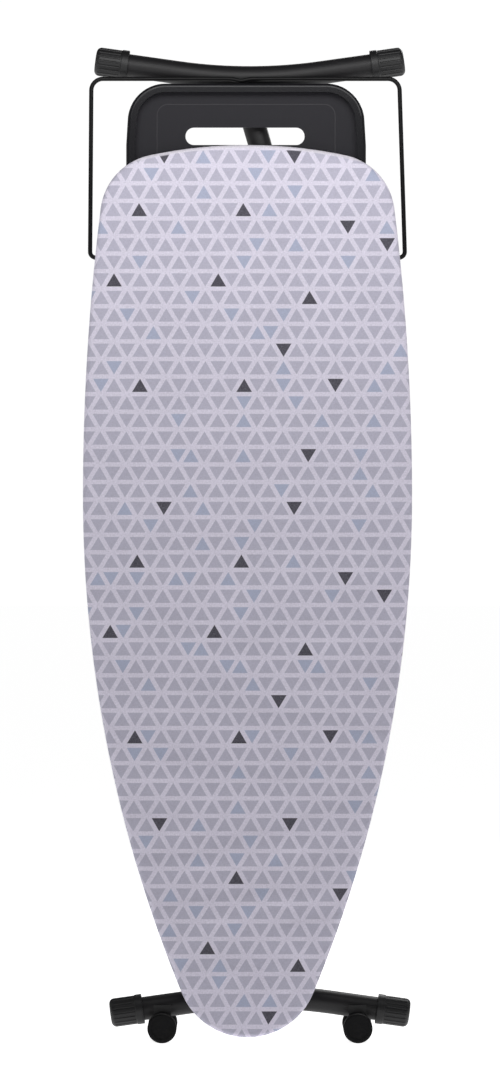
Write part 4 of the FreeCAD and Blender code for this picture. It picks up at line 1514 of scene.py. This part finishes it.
# ---- finishes of the metal and plastic nodes ----
GREY_COAT = PowderCoat("grey_coat", (0.30, 0.31, 0.33, 1.0), (0.40, 0.41, 0.42, 1.0), gloss=0.38)
BLACK_COAT = PowderCoat(
    "black_coat", (0.0068, 0.0063, 0.0073, 1.0), (0.013, 0.0123, 0.0135, 1.0), gloss=0.42
)
# painted shade: the hanger rail's coat is the black coat painted darker and made less shiny, because
# the key light falls full on the rail
RAIL_SHADED_COAT = PowderCoat(
    "rail_shaded_coat", (0.0030, 0.0029, 0.0033, 1.0), (0.0065, 0.0062, 0.0068, 1.0), 0.30, shine=0.16
)
HEM_THREAD = PowderCoat("hem_thread", (0.62, 0.60, 0.70, 1.0), (0.55, 0.53, 0.62, 1.0), gloss=0.8)
ZINC = Plated("zinc_plate", (0.76, 0.77, 0.79, 1.0), (0.50, 0.52, 0.55, 1.0), 0.24)
SPRING_WIRE = Plated("spring_wire", (0.55, 0.54, 0.53, 1.0), (0.30, 0.30, 0.31, 1.0), 0.30)
MATT_BLACK = MattPlastic("matt_black", (0.0045, 0.0045, 0.0052, 1.0), (0.010, 0.0098, 0.0105, 1.0))
NYLON = MattPlastic("nylon", (0.78, 0.77, 0.72, 1.0), (0.66, 0.65, 0.60, 1.0), 0.42)


@dataclass
class Fittings:
    """Dresses the rim, channels, legs, rest, rail, lever and rollers."""

    nodes: dict[str, bpy.types.Object]
    rest_sheet: float = 0.0036

    def _moulding(self) -> GrainedMoulding:
        """The iron rest's finish, set out from its rim, its panel and its top."""
        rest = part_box("iron_rest")
        return GrainedMoulding(
            rim_front=rest[0].y,
            panel_front=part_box("iron_rest_straps")[0].y - self.rest_sheet,
            middle_x=(rest[0].x + rest[1].x) / 2,
            top_z=rest[1].z,
        )

    def build(self) -> None:
        """Gives each node the material of its slot, and the rail a darker copy of the black coat,
        painted shade where the key light falls full on it.
        """
        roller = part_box("front_roller_left")
        axle_z = (roller[0].z + roller[1].z) / 2
        finishes = {
            "grey_coated_steel": GREY_COAT.material(),
            "black_coated_steel": BLACK_COAT.material(),
            "zinc_plated_steel": ZINC.material(),
            "spring_steel": SPRING_WIRE.material(),
            "black_moulding": self._moulding().material(),
            "matte_black_plastic": MATT_BLACK.material(),
            "white_nylon": NYLON.material(),
            "roller_rubber": RollerRubber(axle_z, axle_z).material(),
        }
        # the rail gets the darker copy of the black coat, as painted shade
        own = {"hanger_rail": RAIL_SHADED_COAT.material()}
        slots = {p["node"]: p["material_slot"] for p in frame["record"]["subparts"]}
        for name, node in self.nodes.items():
            material = own.get(name) or finishes.get(slots[name])
            if material is None:
                continue
            node.data.materials.clear()
            node.data.materials.append(material)
            log.info("%s: %s", name, material.name)


def main() -> None:
    """Builds the studio and every piece."""
    logging.basicConfig(level=logging.INFO, format="%(name)s: %(message)s")
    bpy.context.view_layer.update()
    cover_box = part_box("cover")
    pad_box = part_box("underlay_pad")
    mesh_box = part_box("mesh_top")
    outline = BoardOutline(
        length=cover_box[1].z - cover_box[0].z,
        width=cover_box[1].x - cover_box[0].x,
        nose_z=cover_box[0].z,
    )
    Studio(cover_front=cover_box[0].y).build()
    pieces = (
        UnderlayPad(outline, front=pad_box[0].y, back=pad_box[1].y).build(Felt()),
        MeshTop(outline, front=mesh_box[0].y, back=mesh_box[1].y).build(GREY_COAT),
        Cover(outline, front=cover_box[0].y, back=cover_box[1].y).build(PrintedCotton()),
        HemStitches(outline, back=cover_box[1].y).build(HEM_THREAD.material()),
    )
    for piece in pieces:
        log.info("built %s", piece.name)
    Fittings(frame["nodes"]).build()


if __name__ == "__main__":
    main()
